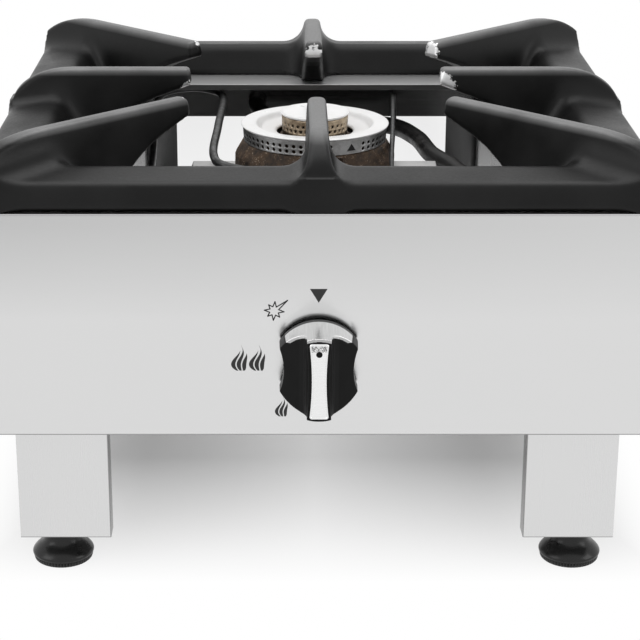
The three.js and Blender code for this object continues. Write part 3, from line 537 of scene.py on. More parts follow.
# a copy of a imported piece's mesh, rebuilt as an even skin and smoothed
def skinOf(node, name, voxel, rounds):
    work = bpy.data.objects.new(name + "_work", nodes[node].data.copy())
    bpy.context.collection.objects.link(work)
    work.modifiers.new("merge", "WELD").merge_threshold = packedMesh["merge"] * mm
    even = work.modifiers.new("even", "REMESH")
    even.mode, even.voxel_size = "VOXEL", voxel * mm
    soft = work.modifiers.new("soft", "SMOOTH")
    soft.factor, soft.iterations = 0.5, rounds
    graph = bpy.context.evaluated_depsgraph_get()
    made = bpy.data.meshes.new_from_object(work.evaluated_get(graph))
    made.name = name
    bpy.data.objects.remove(work)
    return made


def circle(count):
    return [(math.cos(2 * math.pi * k / count), math.sin(2 * math.pi * k / count)) for k in range(count)]


# a profile of (radius, height) pairs in mm, turned about an upright axis
def turned(profile, steps, centre=(0, 0), closed=True):
    points, faces = [], []
    count = len(profile)
    for i, (x, y) in enumerate(circle(steps)):
        points += [[centre[0] + r * x, centre[1] + r * y, h] for r, h in profile]
        here, there = i * count, (i + 1) % steps * count
        for j in range(count if closed else count - 1):
            k = (j + 1) % count
            faces.append((here + j, there + j, there + k, here + k))
    return points, faces


# faces round a closed tube whose points come ring by ring, and a cap at both of its ends
def tubeFaces(rings, count, start=0):
    faces = []
    for ring in range(rings - 1):
        low, high = start + ring * count, start + (ring + 1) * count
        for k in range(count):
            n = (k + 1) % count
            faces.append((low + k, low + n, high + n, high + k))
    last = start + (rings - 1) * count
    return faces + [tuple(range(start, start + count)), tuple(range(last, last + count))]


# corners are (r, h, reach): each is replaced by an arc-like curve of that reach
def rounded(corners, steps):
    line = []
    for i, (r, h, reach) in enumerate(corners):
        if reach <= 0:
            line.append((r, h))
            continue
        here = Vector((r, h))
        before, after = (Vector(corners[(i + d) % len(corners)][:2]) - here for d in (-1, 1))
        a, b = (here + way.normalized() * min(reach, way.length * 0.49) for way in (before, after))
        for s in range(steps + 1):
            t = s / steps
            line.append(tuple(a * (1 - t) ** 2 + here * 2 * t * (1 - t) + b * t ** 2))
    return line


# centripetal curve through the points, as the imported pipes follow
def smoothLine(points, perSpan=10):
    spots = [Vector(p) for p in points]
    ends = [spots[0] * 2 - spots[1], *spots, spots[-1] * 2 - spots[-2]]
    line = []
    for i in range(len(spots) - 1):
        p0, p1, p2, p3 = ends[i:i + 4]
        d0, d1, d2 = ((b - a).length ** 0.5 for a, b in ((p0, p1), (p1, p2), (p2, p3)))
        m1 = ((p1 - p0) / d0 - (p2 - p0) / (d0 + d1) + (p2 - p1) / d1) * d1
        m2 = ((p2 - p1) / d1 - (p3 - p1) / (d1 + d2) + (p3 - p2) / d2) * d1
        for s in range(perSpan):
            t = s / perSpan
            line.append(p1 + m1 * t + (-3 * p1 + 3 * p2 - 2 * m1 - m2) * t ** 2
                        + (2 * p1 - 2 * p2 + m1 + m2) * t ** 3)
    line.append(spots[-1])
    return line


def pipePiece(name, route, radius, look, body, stands, sides=20):
    line = smoothLine(route)
    points = []
    side = (line[1] - line[0]).normalized().orthogonal().normalized()
    for i, spot in enumerate(line):
        ahead = (line[min(i + 1, len(line) - 1)] - line[max(i - 1, 0)]).normalized()
        side = (side - ahead * side.dot(ahead)).normalized()
        up = ahead.cross(side)
        points += [spot + (side * a + up * b) * radius for a, b in circle(sides)]
    meshPiece(name, points, tubeFaces(len(line), sides), look, body, stands, 60)


print("mesh tools ready")


# the output shows the first shader, and the second where the share is 1
def mixShaders(tree, share, first, second, output):
    either = put(tree, "ShaderNodeMixShader", {0: share, 1: first.outputs[0], 2: second.outputs[0]})
    tree.links.new(either.outputs[0], tree.nodes[output].inputs["Surface"])


# 1 for what is seen straight, in a reflection or through glass, and 0 for the light that falls
def seenPlainly(tree):
    paths = put(tree, "ShaderNodeLightPath").outputs
    kinds = [paths[kind] for kind in ("Is Camera Ray", "Is Glossy Ray", "Is Transmission Ray")]
    return chain(tree, "MAXIMUM", *kinds)


def makeWorld():
    world = bpy.data.worlds.new("studio")
    world.use_nodes = True
    bpy.context.scene.world = world
    tree = world.node_tree
    soft = tree.nodes["Background"]
    soft.inputs["Color"].default_value = (1, 1, 1, 1)
    soft.inputs["Strength"].default_value = stageLook["skyLight"]
    white = put(tree, "ShaderNodeBackground", {"Color": (1, 1, 1, 1), "Strength": 1.0})
    mixShaders(tree, seenPlainly(tree), soft, white, "World Output")


# how much of the floor is seen as plain white: all, but for the shadow under and behind the range
def plainShare(tree):
    x, y, _ = split(tree, place(tree))
    away = absolute(tree, x)
    # painted light: more white glow under the middle than by the legs
    under = spread(tree, away, 0.0, stageLook["legsAside"], *stageLook["floorLift"])
    outside = chain(tree, "MAXIMUM",
                    spread(tree, away, *stageLook["shadowSides"], interpolation_type="SMOOTHSTEP"),
                    spread(tree, y, *stageLook["shadowFront"]),
                    spread(tree, y, *stageLook["shadowRear"]))
    covered = [chain(tree, "SUBTRACT", 1.0, share) for share in (outside, under)]
    return chain(tree, "SUBTRACT", 1.0, chain(tree, "MULTIPLY", *covered))


def makeFloor():
    material, tree, shader = surface("paleFloor", 0.0, 0.9, 0.0)
    shader.inputs["Base Color"].default_value = grey(stageLook["floorTone"])
    glow = put(tree, "ShaderNodeEmission", {"Color": (1, 1, 1, 1), "Strength": 1.0})
    share = chain(tree, "MULTIPLY", seenPlainly(tree), plainShare(tree))
    mixShaders(tree, share, shader, glow, "Material Output")
    reach = stageLook["floorReach"]
    mesh = bpy.data.meshes.new("floor")
    mesh.from_pydata([(-reach, -reach, 0), (reach, -reach, 0), (reach, reach, 0), (-reach, reach, 0)],
                     [], [(0, 1, 2, 3)])
    mesh.materials.append(material)
    floor = bpy.data.objects.new("floor", mesh)
    bpy.context.collection.objects.link(floor)


makeWorld()
makeFloor()
bpy.context.scene.view_settings.view_transform = "Standard"
print("studio ready")


# finish: how wide the edges are broken in mm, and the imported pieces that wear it
dressing = {
    "brushed_panel": (0.4, ["front_panel", "rear_panel"]),
    "top_sheet": (0.4, ["top_plate"]),
    "side_sheet": (0.4, ["side_panel_left", "side_panel_right"]),
    "leg_steel": (0.4, ["leg_" + corner for corner in legCorners]),
    "plain_steel": (0.6, ["base_rail_front", "base_rail_rear", "base_rail_left", "base_rail_right",
                          "tray_runner_left", "tray_runner_right", "burner_bracket", "drip_tray"]),
    "zinc_steel": (0.6, ["foot_nut_" + corner for corner in legCorners]
                   + ["rear_screw_%d" % number for number in range(1, 5)]
                   + ["valve_nut", "push_collar", "valve_spindle", "inlet_nut", "air_shutter"]),
    "brass": (0.6, ["gas_valve", "injector_holder", "injector", "inlet_elbow"]),
    "sooted": (0.6, ["pilot_burner", "pilot_bracket", "thermocouple"]),
    "heated_steel": (0.6, ["mixing_tube"]),
}
for look, (edge, names) in dressing.items():
    for name in names:
        dress(name, look, edge)
print("packed pieces dressed")


burnerCasting = {
    "voxel": 1.4, "rounds": 4,      # mm, smoothing passes
    "deep": 0.5,                    # mm: depth of the casting's dents
    "dents": 0.11,                  # per mm; the pits among them are this much finer and shallower
    "finer": 3.1, "shallower": 0.6,
}


def makeBurnerCasting(facts):
    mesh = skinOf("burner_base", "burner_base_skin", facts["voxel"], facts["rounds"])
    spots = [(point.co.copy(), point.normal.copy()) for point in mesh.vertices]
    for point, (spot, outward) in zip(mesh.vertices, spots):
        at = spot * (facts["dents"] / mm)
        deep = noise.noise(at) + facts["shallower"] * noise.noise(at * facts["finer"])
        point.co = spot - outward * (0.5 + 0.5 * max(-1, min(1, deep))) * facts["deep"] * mm
    finishPiece("burner_base_casting", mesh, "burner_casting", "range_body",
                ["burner_base"], 60)


makeBurnerCasting(burnerCasting)
print("castings made")


grate = {                                          # mm
    "half": 289.6, "corner": 24,
    "foot": 342.6, "pot": 399.9,                   # heights of its underside and its top
    "barTop": 366.2, "barPeak": 371.6, "barPeakInset": 46, "barInnerTop": 48, "barInnerFoot": 65,
    "barRound": 9.0, "barFootRound": 3.0,
    "coreWall": 8.5, "coreInset": 6, "coreRoof": 357,           # the bar is hollow below
    "tip": 119.5, "tipLean": 0.12, "tipRound": 3.0, "setback": 3,
    "ridgeHalf": 7.2, "ridgeRound": 5.2, "footHalf": 11.5, "flareDepth": 45, "flare": 0.6,
    "fall": 56,                                    # length of the arc from the ridge down to the bar
    "web": [(0, 16), (33, 28), (50, 36), (65, 46), (80, 60)],   # run from the tip, fall from the top
    "webSlope": 0.85,
    "blend": 22.0,                                 # fillet where the fingers meet the bar
    "cell": 2.6, "margin": 3, "slides": 3, "probe": 0.05,
}


# the smaller of two distances, with a fillet of that reach where they cross
def smoothLess(a, b, reach):
    h = np.clip(0.5 + 0.5 * (b - a) / reach, 0, 1)
    return b + (a - b) * h - reach * h * (1 - h)


def smoothMore(a, b, reach):
    return -smoothLess(-a, -b, reach)


def squareDistance(x, y, half, corner):
    qx, qy = np.abs(x) - (half - corner), np.abs(y) - (half - corner)
    outside = np.hypot(np.maximum(qx, 0), np.maximum(qy, 0))
    return outside + np.minimum(np.maximum(qx, qy), 0) - corner


def barDistance(x, y, z, g):
    edge = squareDistance(x, y, g["half"], g["corner"])
    inward = -edge
    slope = (g["barPeak"] - g["barTop"]) / g["barPeakInset"]
    top = z - (g["barTop"] + slope * np.clip(inward, 0, g["barPeakInset"]))
    lean = (g["barInnerFoot"] - g["barInnerTop"]) / (g["barPeak"] - g["foot"])
    inner = (inward - g["barInnerFoot"] + (z - g["foot"]) * lean) / math.hypot(1, lean)
    solid = smoothMore(smoothMore(edge, top, g["barRound"]),
                       smoothMore(inner, g["foot"] - z, g["barFootRound"]), g["barRound"])
    coreEnd = g["barInnerFoot"] - g["coreWall"] - g["coreInset"]
    core = np.maximum(np.maximum(g["coreWall"] - inward, inward - coreEnd), z - g["coreRoof"])
    return solid, core


# a finger and its opposite; longer is 1 for the straight ones and more for the slanted ones
def fingerDistance(along, aside, z, longer, g):
    tip = g["tip"] * longer
    end = (g["half"] - g["setback"]) * longer
    fall = end - g["fall"] * longer
    share = np.clip((along - fall) / (end - fall), 0, 1)
    top = z - (g["pot"] - (g["pot"] - g["barTop"]) * (1 - np.sqrt(1 - share * share)))
    runs, falls = zip(*g["web"])
    under = (g["pot"] - np.interp(along - tip, runs, falls)) - z
    depth = np.clip((g["pot"] - z) / g["flareDepth"], 0, 1)
    side = np.abs(aside) - (g["ridgeHalf"] + (g["footHalf"] - g["ridgeHalf"]) * depth ** g["flare"])
    ends = np.maximum(tip - along + g["tipLean"] * (z - g["pot"]), along - end)
    return smoothMore(smoothMore(top, side, g["ridgeRound"]),
                      smoothMore(under * g["webSlope"], ends, g["tipRound"]), g["tipRound"])


def grateDistance(x, y, z, g):
    solid, core = barDistance(x, y, z, g)
    root = math.sqrt(0.5)
    straight = np.minimum(
        fingerDistance(np.abs(x), y, z, 1.0, g), fingerDistance(np.abs(y), x, z, 1.0, g))
    slanted = np.minimum(
        fingerDistance(np.abs((x + y) * root), (x - y) * root, z, 2 * root, g),
        fingerDistance(np.abs((x - y) * root), (x + y) * root, z, 2 * root, g))
    shape = smoothLess(solid, np.minimum(straight, slanted), g["blend"])
    shape = np.maximum(shape, g["foot"] - z)
    shape = np.maximum(shape, squareDistance(x, y, g["half"], g["corner"]))
    return np.maximum(shape, -core)


# quads round every sign change of a field of distances, each corner at its cell's mean crossing
def skinOfField(values, origin, cell):
    inside = values < 0
    counts = [n - 1 for n in values.shape]
    total = np.zeros(counts + [3])
    hits = np.zeros(counts)

    def window(offset):
        return tuple(slice(o, o + n) for o, n in zip(offset, counts))

    for a in [(i, j, k) for i in (0, 1) for j in (0, 1) for k in (0, 1)]:
        for axis in range(3):
            if a[axis]:
                continue
            b = tuple(v + (i == axis) for i, v in enumerate(a))
            va, vb = values[window(a)], values[window(b)]
            crossing = (va < 0) != (vb < 0)
            share = np.where(crossing, va / np.where(crossing, va - vb, 1), 0)
            for i in range(3):
                total[..., i] += np.where(crossing, a[i] + (share if i == axis else 0), 0)
            hits += crossing
    used = hits > 0
    number = np.full(counts, -1)
    number[used] = np.arange(used.sum())
    base = np.stack(np.nonzero(used), 1)
    points = (base + total[used] / hits[used][:, None]) * cell + origin
    faces = []
    for axis in range(3):
        u, v = (axis + 1) % 3, (axis + 2) % 3
        low, high = [slice(None)] * 3, [slice(None)] * 3
        low[axis], high[axis] = slice(0, -1), slice(1, None)
        change = inside[tuple(low)] != inside[tuple(high)]
        for spot in np.argwhere(change):
            if spot[u] == 0 or spot[v] == 0 or spot[u] >= counts[u] or spot[v] >= counts[v]:
                continue
            ring = []
            for du, dv in ((-1, -1), (0, -1), (0, 0), (-1, 0)):
                at = spot.copy()
                at[u] += du
                at[v] += dv
                ring.append(int(number[tuple(at)]))
            faces.append(ring if inside[tuple(spot)] else ring[::-1])
    return points, faces


def makeGrate(g):
    cell, margin, probe = g["cell"], g["margin"] * g["cell"], g["probe"]
    reach = g["half"] + margin
    low, high = g["foot"] - margin, g["pot"] + margin
    across = np.arange(-reach, reach + cell, cell)
    x, y, z = np.meshgrid(across, across, np.arange(low, high, cell), indexing="ij")
    values = grateDistance(x, y, z, g)
    points, faces = skinOfField(values, np.array([across[0], across[0], low]), cell)
    for _ in range(g["slides"]):       # slide each point along the field's slope onto the surface
        here = grateDistance(*points.T, g)
        moved = [grateDistance(*(points + step).T, g) for step in np.eye(3) * probe]
        slope = np.stack([there - here for there in moved], 1) / probe
        points -= slope * (here / np.maximum((slope ** 2).sum(1), 0.25))[:, None] * 0.8
    mesh = bpy.data.meshes.new("potGrate")
    mesh.from_pydata((points * mm).tolist(), [], faces)
    finishPiece("potGrate", mesh, "cast_iron_enamel", "pot_grate",
                ["pot_grate"], 60)


makeGrate(grate)
print("pot grate made")


# mm; splits are the heights between the wall's rows of cells, as shares of it
outerCrown = {
    "columns": 62, "portRadius": 1.85, "splits": [0.06, 0.41, 0.76],
    "plain": (-76, -53),                            # degrees: stretch of the wall with no ports
    "wallThick": 0.9, "wallFoot": 2.6, "lip": 1.7,  # the wall's foot and top lie this far in
    "topThick": 1.6,                                # of the white top at its rim
    "liner": 4.6, "linerThick": 1.2,
    "rim": 15.0, "dish": 6.0, "hole": 36.6,         # the top's flat width, its dish and its hole
    "markAt": -61, "markSize": 8.6, "markHeight": 0.36, "markInset": 2.2,
}
innerCrown = {
    "columns": 34, "portRadius": 1.3, "splits": [0.24, 0.52, 0.8],
    "wallThick": 1.9, "wallFoot": 0.9, "wallTop": 0.1,
    "capSpigot": 4.2, "capThick": 3.0,
}


def polar(r, angle, z):
    return (r * math.cos(angle), r * math.sin(angle), z)


# points round a cell, so many to a side that neighbouring cells share them
def cellEdge(halfWide, halfTall, perSide=4):
    ring = []
    ends = [(halfWide, -halfTall), (halfWide, halfTall), (-halfWide, halfTall), (-halfWide, -halfTall)]
    for (ax, az), (bx, bz) in zip(ends, ends[1:] + ends[:1]):
        ring += [(ax + (bx - ax) * k / perSide, az + (bz - az) * k / perSide) for k in range(perSide)]
    return ring


# a band of cells round the axis; radiusAt(z) gives its outside, ported(i) tells if cell i has a port
def portedBand(points, faces, ported, facts, low, high, radiusAt, shift):
    width = 2 * math.pi / facts["columns"]
    middle, halfTall = (low + high) / 2, (high - low) / 2
    radius = radiusAt(middle)
    ring = cellEdge(width / 2 * radius, halfTall)
    sides = len(ring)
    for i in range(facts["columns"]):
        turn = (i + 0.5) * width + shift
        start = len(points)
        points.extend(polar(radiusAt(middle + z), turn + x / radius, middle + z) for x, z in ring)
        if not ported(i):
            points.append(polar(radius, turn, middle))
            faces.extend((start + k, start + (k + 1) % sides, start + sides) for k in range(sides))
            continue
        for x, z in ring:
            px, pz, _ = polar(facts["portRadius"], math.atan2(z, x), 0)
            points.append(polar(radiusAt(middle + pz), turn + px / radius, middle + pz))
        for k in range(sides):
            n = (k + 1) % sides
            faces.append((start + k, start + n, start + sides + n, start + sides + k))


# a slightly tapered wall: plain bands at its foot and top, and two rows of ports between them
def crownWall(name, look, body, facts, levels, radii, ported, shifts):
    points, faces = [], []
    low, high = levels

    def radiusAt(z):
        return radii[0] + (radii[1] - radii[0]) * (z - low) / (high - low)

    rows = [lambda i: False, ported, ported, lambda i: False]
    edges = [low] + [low + (high - low) * s for s in facts["splits"]] + [high]
    for row, bottom, top, shift in zip(rows, edges, edges[1:], shifts):
        portedBand(points, faces, row, facts, bottom, top, radiusAt, shift)
    piece = meshPiece(name, points, faces, look, body, (), 50)
    shell = bmesh.new()
    shell.from_mesh(piece.data)
    bmesh.ops.remove_doubles(shell, verts=shell.verts, dist=0.00002)
    for face in shell.faces:
        middle = face.calc_center_median()
        if face.normal.dot(Vector((middle.x, middle.y, 0))) < 0:
            face.normal_flip()
    shell.to_mesh(piece.data)
    shell.free()
    wall = piece.modifiers.new("wall", "SOLIDIFY")
    wall.thickness, wall.offset = facts["wallThick"] * mm, -1
    return piece


# the small dark sign on the crown's wall
def makeCrownMark(facts, radius, height):
    half = facts["markSize"] / 2
    outline = [(-half, -0.42 * half), (half, -0.42 * half), (0, 1.1 * half)]
    turn = math.radians(facts["markAt"])
    face = Vector((math.cos(turn), math.sin(turn), 0))
    side = Vector((-math.sin(turn), math.cos(turn), 0))
    at = face * (radius - facts["markInset"]) + Vector((0, 0, height))
    points = [at + face * out + side * a + Vector((0, 0, b)) for out in (-0.6, 0.45) for a, b in outline]
    meshPiece("outerCrownMark", points, tubeFaces(2, len(outline)), "print", "outer_crown",
              (), 20)


def makeOuterCrown(facts):
    foot, head = boxOf("outer_crown_ring")
    low, high, radius = foot.z, head.z, head.x
    wallTop, lip = high - facts["topThick"], radius - facts["lip"]

    def ported(i):
        turn = math.degrees((i + 0.5) * 2 * math.pi / facts["columns"])
        return not facts["plain"][0] < (turn + 180) % 360 - 180 < facts["plain"][1]

    crownWall("outerCrownWall", "heated_steel", "outer_crown", facts,
              (low, wallTop - 0.3), (radius - facts["wallFoot"], lip), ported, [0] * 4)
    # the dark inside wall that shows through the ports
    outer, (bottom, top) = radius - facts["liner"], (low + 0.6, wallTop - 1.0)
    inner = outer - facts["linerThick"]
    points, faces = turned([(inner, bottom), (outer, bottom), (outer, top), (inner, top)], 96)
    meshPiece("outerCrownLiner", points, faces, "sooted", "outer_crown", (), 50)
    makeCrownMark(facts, radius, low + facts["markHeight"] * (wallTop - low))
    # the white top, from under its lip over the rim and the dish to the hole and back below
    rim, dish, hole = radius - facts["rim"], high - facts["dish"], facts["hole"]
    points, faces = turned(rounded([
        (lip - 2.2, wallTop - 2.2, 0.3), (lip, wallTop - 1.2, 0.6),
        (radius - 0.3, wallTop + 0.2, 0.7), (radius, high - 0.5, 0.5), (radius - 1.2, high, 0.6),
        (rim, high - 0.1, 2.2), (rim - 4, dish + 0.6, 2.5),
        (hole + 1.2, dish - 1.3, 1.2), (hole, dish - 2.4, 0.5),
        (hole, dish - 3.9, 0.3), (rim - 6, dish - 2.0, 1.5),
        (rim - 1.5, high - 2.6, 1.5), (radius - 5.5, high - 2.6, 0.5),
    ], 4), 160)
    meshPiece("outerCrownTop", points, faces, "white_enamel", "outer_crown",
              ["outer_crown_ring"], 50)


def makeInnerCrown(facts):
    foot, head = boxOf("inner_crown")
    radius = head.x
    wall = crownWall("innerCrownWall", "crown_brass", "inner_crown", facts, (foot.z, head.z),
                     (radius - facts["wallFoot"], radius - facts["wallTop"]), lambda i: True,
                     [0, math.pi / facts["columns"], 0, 0])
    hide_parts("inner_crown")
    capFoot, capHead = boxOf("inner_cap")
    low, top, edge = capFoot.z, capHead.z, capHead.x
    inside, plate = radius - facts["capSpigot"], top - facts["capThick"]
    points, faces = turned(rounded([
        (0, low + 1.5, 0), (inside - 2, low + 1.5, 0.6), (inside - 0.8, low, 0.3), (inside, low, 0.3),
        (inside, plate, 0.4), (edge - 2.2, plate, 0.5), (edge - 0.7, plate + 1.3, 1.0),
        (edge, top - 0.5, 0.4), (edge - 0.9, top, 0.4), (edge - 3.2, top - 0.9, 1.3),
        (edge - 8, top - 1.3, 2.0), (0, top - 1.0, 0),
    ], 5), 128, closed=False)
    meshPiece("innerCap", points, faces, "white_enamel", "inner_cap", ["inner_cap"], 50)


makeOuterCrown(outerCrown)
makeInnerCrown(innerCrown)
print("burner crowns made")


# radius, finish, slot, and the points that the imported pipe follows, all in mm
pipeRoutes = {
    "supply_pipe": (9.0, "dark_pipe", "dark_pipe", [
        (-60, 304, 300), (-60, 290, 300), (-60, 276.5, 300), (-60, 262.5, 300), (-52, 240.5, 296),
        (-24, 226.5, 291), (40, 222.5, 290), (85, 208.5, 290), (108, 160.5, 290), (120, 90.5, 290),
        (138, 40.5, 290), (150, -20.5, 290), (151, -130.5, 288), (138, -205.5, 260),
        (112, -258.5, 232), (80, -262.5, 214), (20.3, -262.5, 214)]),
    "gas_pipe": (5.0, "small_tube", "small_tube", [
        (0, -262.5, 234.3), (0, -262.5, 248), (0, -259.5, 257), (0, -253.5, 262), (0, -236.3, 262)]),
    "pilot_tube": (4.0, "small_tube", "small_tube", [
        (-20.3, -262.5, 222), (-52, -262.5, 222), (-110, -250.5, 226), (-152, -218.5, 230),
        (-172, -166.5, 234), (-172, 0, 238), (-172, 170, 246), (-172, 226.5, 266),
        (-172, 238.5, 294), (-162, 236.5, 318), (-129, 228.5, 327), (-103, 212.5, 327),
        (-95, 190, 327), (-95, 60, 328), (-95, -55, 328), (-87, -86, 328), (-61, -98, 325),
        (-40, -98, 324), (-24.3, -98, 324)]),
    "thermocouple_lead": (2.2, "small_tube", "small_tube", [
        (22, -98, 299.7), (23, -98, 293.7), (36, -98, 287.7), (60, -98, 293.7), (69, -86, 316),
        (71, -53, 327), (78, 60, 328), (85, 190, 328), (88, 232, 316), (90, 246.5, 288),
        (88, 238.5, 256), (86, 190, 238), (80, 0, 232), (78, -150, 224), (50, -216, 208),
        (20, -214, 206), (9, -224, 206), (8, -239.7, 206)]),
}
for node, (radius, look, slot, route) in pipeRoutes.items():
    pipePiece(node + "_run", route, radius, look, "range_body", [node])
print("pipes made")


knobFacts = {                                   # mm
    "axisZ": 214.0,
    "bodyVoxel": 0.55, "bodyRounds": 5, "bandVoxel": 0.4, "bandRounds": 3,
    "plateWide": 8.0, "plateWaist": 6.0, "plateTop": 246.4, "plateFoot": 180.4, "plateCorner": 2.0,
    "plateRim": 1.1, "plateBevel": 0.35, "plateSlope": 0.25, "plateStep": 0.35,
    "sideSteps": 24, "cornerSteps": 6,
    "dotZ": 237.2, "dotRadius": 2.6, "dotProud": 0.12, "dotSunk": 0.02, "dotSides": 32,
}


# half the plate's width at a height: it is pinched in its middle
def plateHalf(z, facts):
    middle = (facts["plateTop"] + facts["plateFoot"]) / 2
    share = (z - middle) / (facts["plateTop"] - middle)
    return facts["plateWaist"] + (facts["plateWide"] - facts["plateWaist"]) * share * share


# the plate's outline: pinched sides, rounded corners
def plateOutline(facts, inset):
    corner, steps, turns = facts["plateCorner"] - 0.5 * inset, facts["sideSteps"], facts["cornerSteps"]
    foot = facts["plateFoot"] + inset + corner
    straight = facts["plateTop"] - inset - corner - foot
    heights = [foot + straight * k / steps for k in range(steps + 1)]
    side = [(plateHalf(z, facts) - inset, z) for z in heights]
    (footX, footZ), (topX, topZ) = side[0], side[-1]
    arc = [(corner * (1 - math.cos(a)), corner * math.sin(a))
           for a in (math.pi / 2 * k / turns for k in range(1, turns + 1))]
    lower = [(footX - a, footZ - b) for a, b in reversed(arc)]
    right = lower + side + [(topX - a, topZ + b) for a, b in arc]
    return right + [(-x, z) for x, z in reversed(right)]


def makeKnobPlate(facts):
    near, far = boxOf("knob_insert")
    front, bevel, rim = near.y, facts["plateBevel"], facts["plateRim"]
    sunk = front + facts["plateStep"]       # the plate lies sunk inside its rim
    rings = [(0.0, far.y), (0.0, front + bevel), (bevel, front), (rim, front),
             (rim + facts["plateSlope"], sunk)]
    points = [(x, y, z) for inset, y in rings for x, z in plateOutline(facts, inset)]
    faces = tubeFaces(len(rings), len(points) // len(rings))
    meshPiece("knobPlate", points, faces, "satin_silver", "knob", ["knob_insert"], 35)
    sides, radius = facts["dotSides"], facts["dotRadius"]
    points = [(radius * x, y, facts["dotZ"] + radius * z)
              for y in (sunk + facts["dotSunk"], sunk - facts["dotProud"]) for x, z in circle(sides)]
    meshPiece("knobDot", points, tubeFaces(2, sides), "black_plastic", "knob", (), 35)


finishPiece("knobBody", skinOf("knob_body", "knobBody", knobFacts["bodyVoxel"], knobFacts["bodyRounds"]),
            "black_plastic", "knob", ["knob_body"], 55)
finishPiece("knobBand", skinOf("knob_band", "knobBand", knobFacts["bandVoxel"], knobFacts["bandRounds"]),
            "sleeve_silver", "knob", ["knob_band"], 55)
makeKnobPlate(knobFacts)
print("knob made")


# printed signs round the knob, in mm from its axis; a flame's shape in shares of its height
marks = {
    "inkProud": 0.08, "inkSunk": 0.02,
    "pointer": {"wide": 14.6, "top": 63.4, "tip": 51.2},
    "spark": {"at": (-37.0, 44.0), "turn": 40, "points": 8, "outer": 8.2, "second": 0.86,
              "inner": 3.9, "long": 14.5, "line": 1.0, "past": 0.35},
    "flames": [{"at": (-65.0, 2.0), "tall": 22.5}, {"at": (-50.0, 2.0), "tall": 22.5},
               {"at": (-30.0, -42.0), "tall": 18.0}],
    "flameShape": {"wide": 0.62, "reaches": (0.8, 1.0, 0.68), "gap": 0.045, "thin": 0.004,
                   "sway": 0.085, "swayTurns": 1.9, "swayStart": 1.05, "steps": 14},
}


def inkPiece(name, outlines):
    face = boxOf("front_panel")[0].y
    points, faces = [], []
    for outline in outlines:
        faces += tubeFaces(2, len(outline), len(points))
        for y in (face + marks["inkSunk"], face - marks["inkProud"]):
            points += [(x, y, knobFacts["axisZ"] + z) for x, z in outline]
    meshPiece(name, points, faces, "print", "range_body", (), 20)


# a star: every second ray a little shorter, and the first one long
def sparkOutline(facts):
    line = []
    for k in range(2 * facts["points"]):
        angle = math.radians(facts["turn"]) + math.pi * k / facts["points"]
        length = facts["inner"] if k % 2 else facts["outer"] * (1.0 if k % 4 else facts["second"])
        if k == 0:
            length = facts["long"]
        x, z, _ = polar(length, angle, 0)
        line.append((facts["at"][0] + x, facts["at"][1] + z))
    return line


# each edge of the outline as a thin bar of ink that runs a little past its ends
def inkedEdges(outline, facts):
    bars = []
    for a, b in zip(outline, outline[1:] + outline[:1]):
        a, b = Vector(a), Vector(b)
        way = (b - a).normalized() * facts["line"]
        past, side = way * facts["past"], Vector((-way.y, way.x)) / 2
        ends = (a - past - side, b + past - side, b + past + side, a - past + side)
        bars.append([tuple(end) for end in ends])
    return bars


# a flame in three upright tongues that sway together
def flameShapes(at, tall):
    shape = marks["flameShape"]
    count = len(shape["reaches"])
    tongues = []
    for part, reach in enumerate(shape["reaches"]):
        left, right = [], []
        for k in range(shape["steps"] + 1):
            t = k / shape["steps"]
            rise = t * reach
            whole = shape["wide"] * math.sin(math.pi * (0.04 + 0.96 * rise) ** 0.6) ** 0.7
            sway = math.sin(math.pi * (shape["swayTurns"] * rise + shape["swayStart"]))
            middle = shape["sway"] * sway + (part - 1) * whole / count
            half = max((whole / count - shape["gap"]) * (1 - t ** 4) / 2, shape["thin"])
            x, z = at[0] + middle * tall, at[1] + (rise - 0.5) * tall
            left.append((x - half * tall, z))
            right.append((x + half * tall, z))
        tongues.append(left + right[::-1])
    return tongues


def makeMarks():
    pointer, spark = marks["pointer"], marks["spark"]
    half = pointer["wide"] / 2
    inkPiece("markPointer", [[(-half, pointer["top"]), (0, pointer["tip"]), (half, pointer["top"])]])
    inkPiece("markSpark", inkedEdges(sparkOutline(spark), spark))
    for name, flame in zip(("markHighLeft", "markHighRight", "markLow"), marks["flames"]):
        inkPiece(name, flameShapes(**flame))


makeMarks()
print("marks made")


footFacts = {                                     # mm
    "notches": 60, "notchDepth": 0.9, "notchBand": (1.0, 5.4), "notchSteps": 6,
    "pitch": 1.75, "threadDepth": 0.85, "runOut": 1.2, "threadSides": 24, "ringsPerTurn": 8,
}


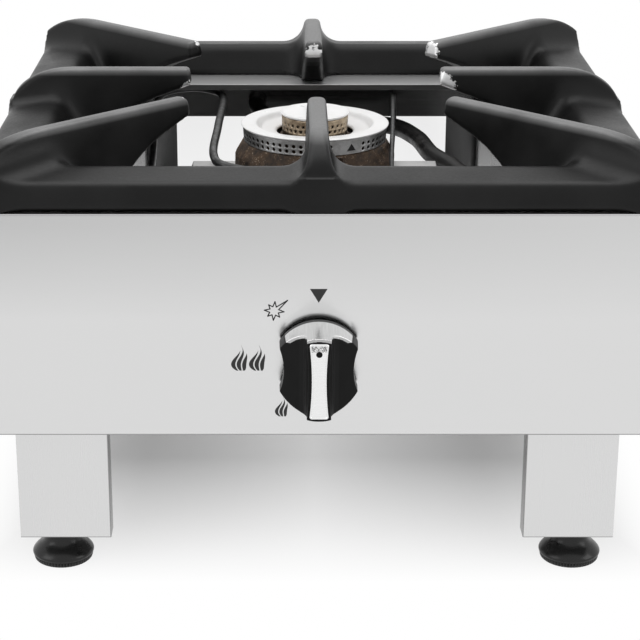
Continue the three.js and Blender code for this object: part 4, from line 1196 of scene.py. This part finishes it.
def makeFoot(corner, facts):
    foot, head = boxOf("foot_" + corner)
    centre = (foot + head) / 2
    rim, tall = (head.x - foot.x) / 2, head.z
    profile = rounded([
        (0, 0, 0), (rim - 4, 0, 1), (rim - 1.5, 1.4, 1), (rim - 0.8, 4.8, 0.6), (rim - 1.2, 5.6, 0.4),
        (rim, 6.6, 1.2), (rim, 9, 2.5), (rim - 3.8, 13.5, 6), (rim - 11, 19, 6),
        (rim - 13, tall - 2, 2), (rim - 13, tall, 0.8), (0, tall, 0),
    ], 4)
    steps = facts["notches"] * facts["notchSteps"]
    low, high = facts["notchBand"]
    points, faces = turned(profile, steps, centre, closed=False)
    for i in range(steps):
        deep = facts["notchDepth"] * (0.5 - 0.5 * math.cos(2 * math.pi * i / facts["notchSteps"])) ** 2
        for j, (r, h) in enumerate(profile):
            if low < h < high and r > rim - 2:
                x, y, z = points[i * len(profile) + j]
                share = (r - deep) / r
                points[i * len(profile) + j] = [centre.x + (x - centre.x) * share,
                                                centre.y + (y - centre.y) * share, z]
    meshPiece("footPad_" + corner, points, faces, "foot_plastic", "foot_" + corner,
              ["foot_" + corner], 40)


def makeStud(corner, facts):
    foot, head = boxOf("foot_stud_" + corner)
    centre, radius, tall = (foot + head) / 2, (head.x - foot.x) / 2, head.z - foot.z
    sides = facts["threadSides"]
    rings = int(tall / facts["pitch"] * facts["ringsPerTurn"])
    points = []
    for i in range(rings + 1):
        z = foot.z + tall * i / rings
        ends = max(0, min(1, (z - foot.z) / facts["runOut"], (head.z - z) / facts["runOut"]))
        for k, (x, y) in enumerate(circle(sides)):
            crest = 1 - abs(2 * ((z / facts["pitch"] - k / sides) % 1) - 1)
            r = radius - facts["threadDepth"] * (1 - min(crest, ends))
            points.append((centre.x + r * x, centre.y + r * y, z))
    meshPiece("footStud_" + corner, points, tubeFaces(rings + 1, sides), "zinc_steel",
              "foot_" + corner, ["foot_stud_" + corner], 50)


for corner in legCorners:
    makeFoot(corner, footFacts)
    makeStud(corner, footFacts)
print("feet made")
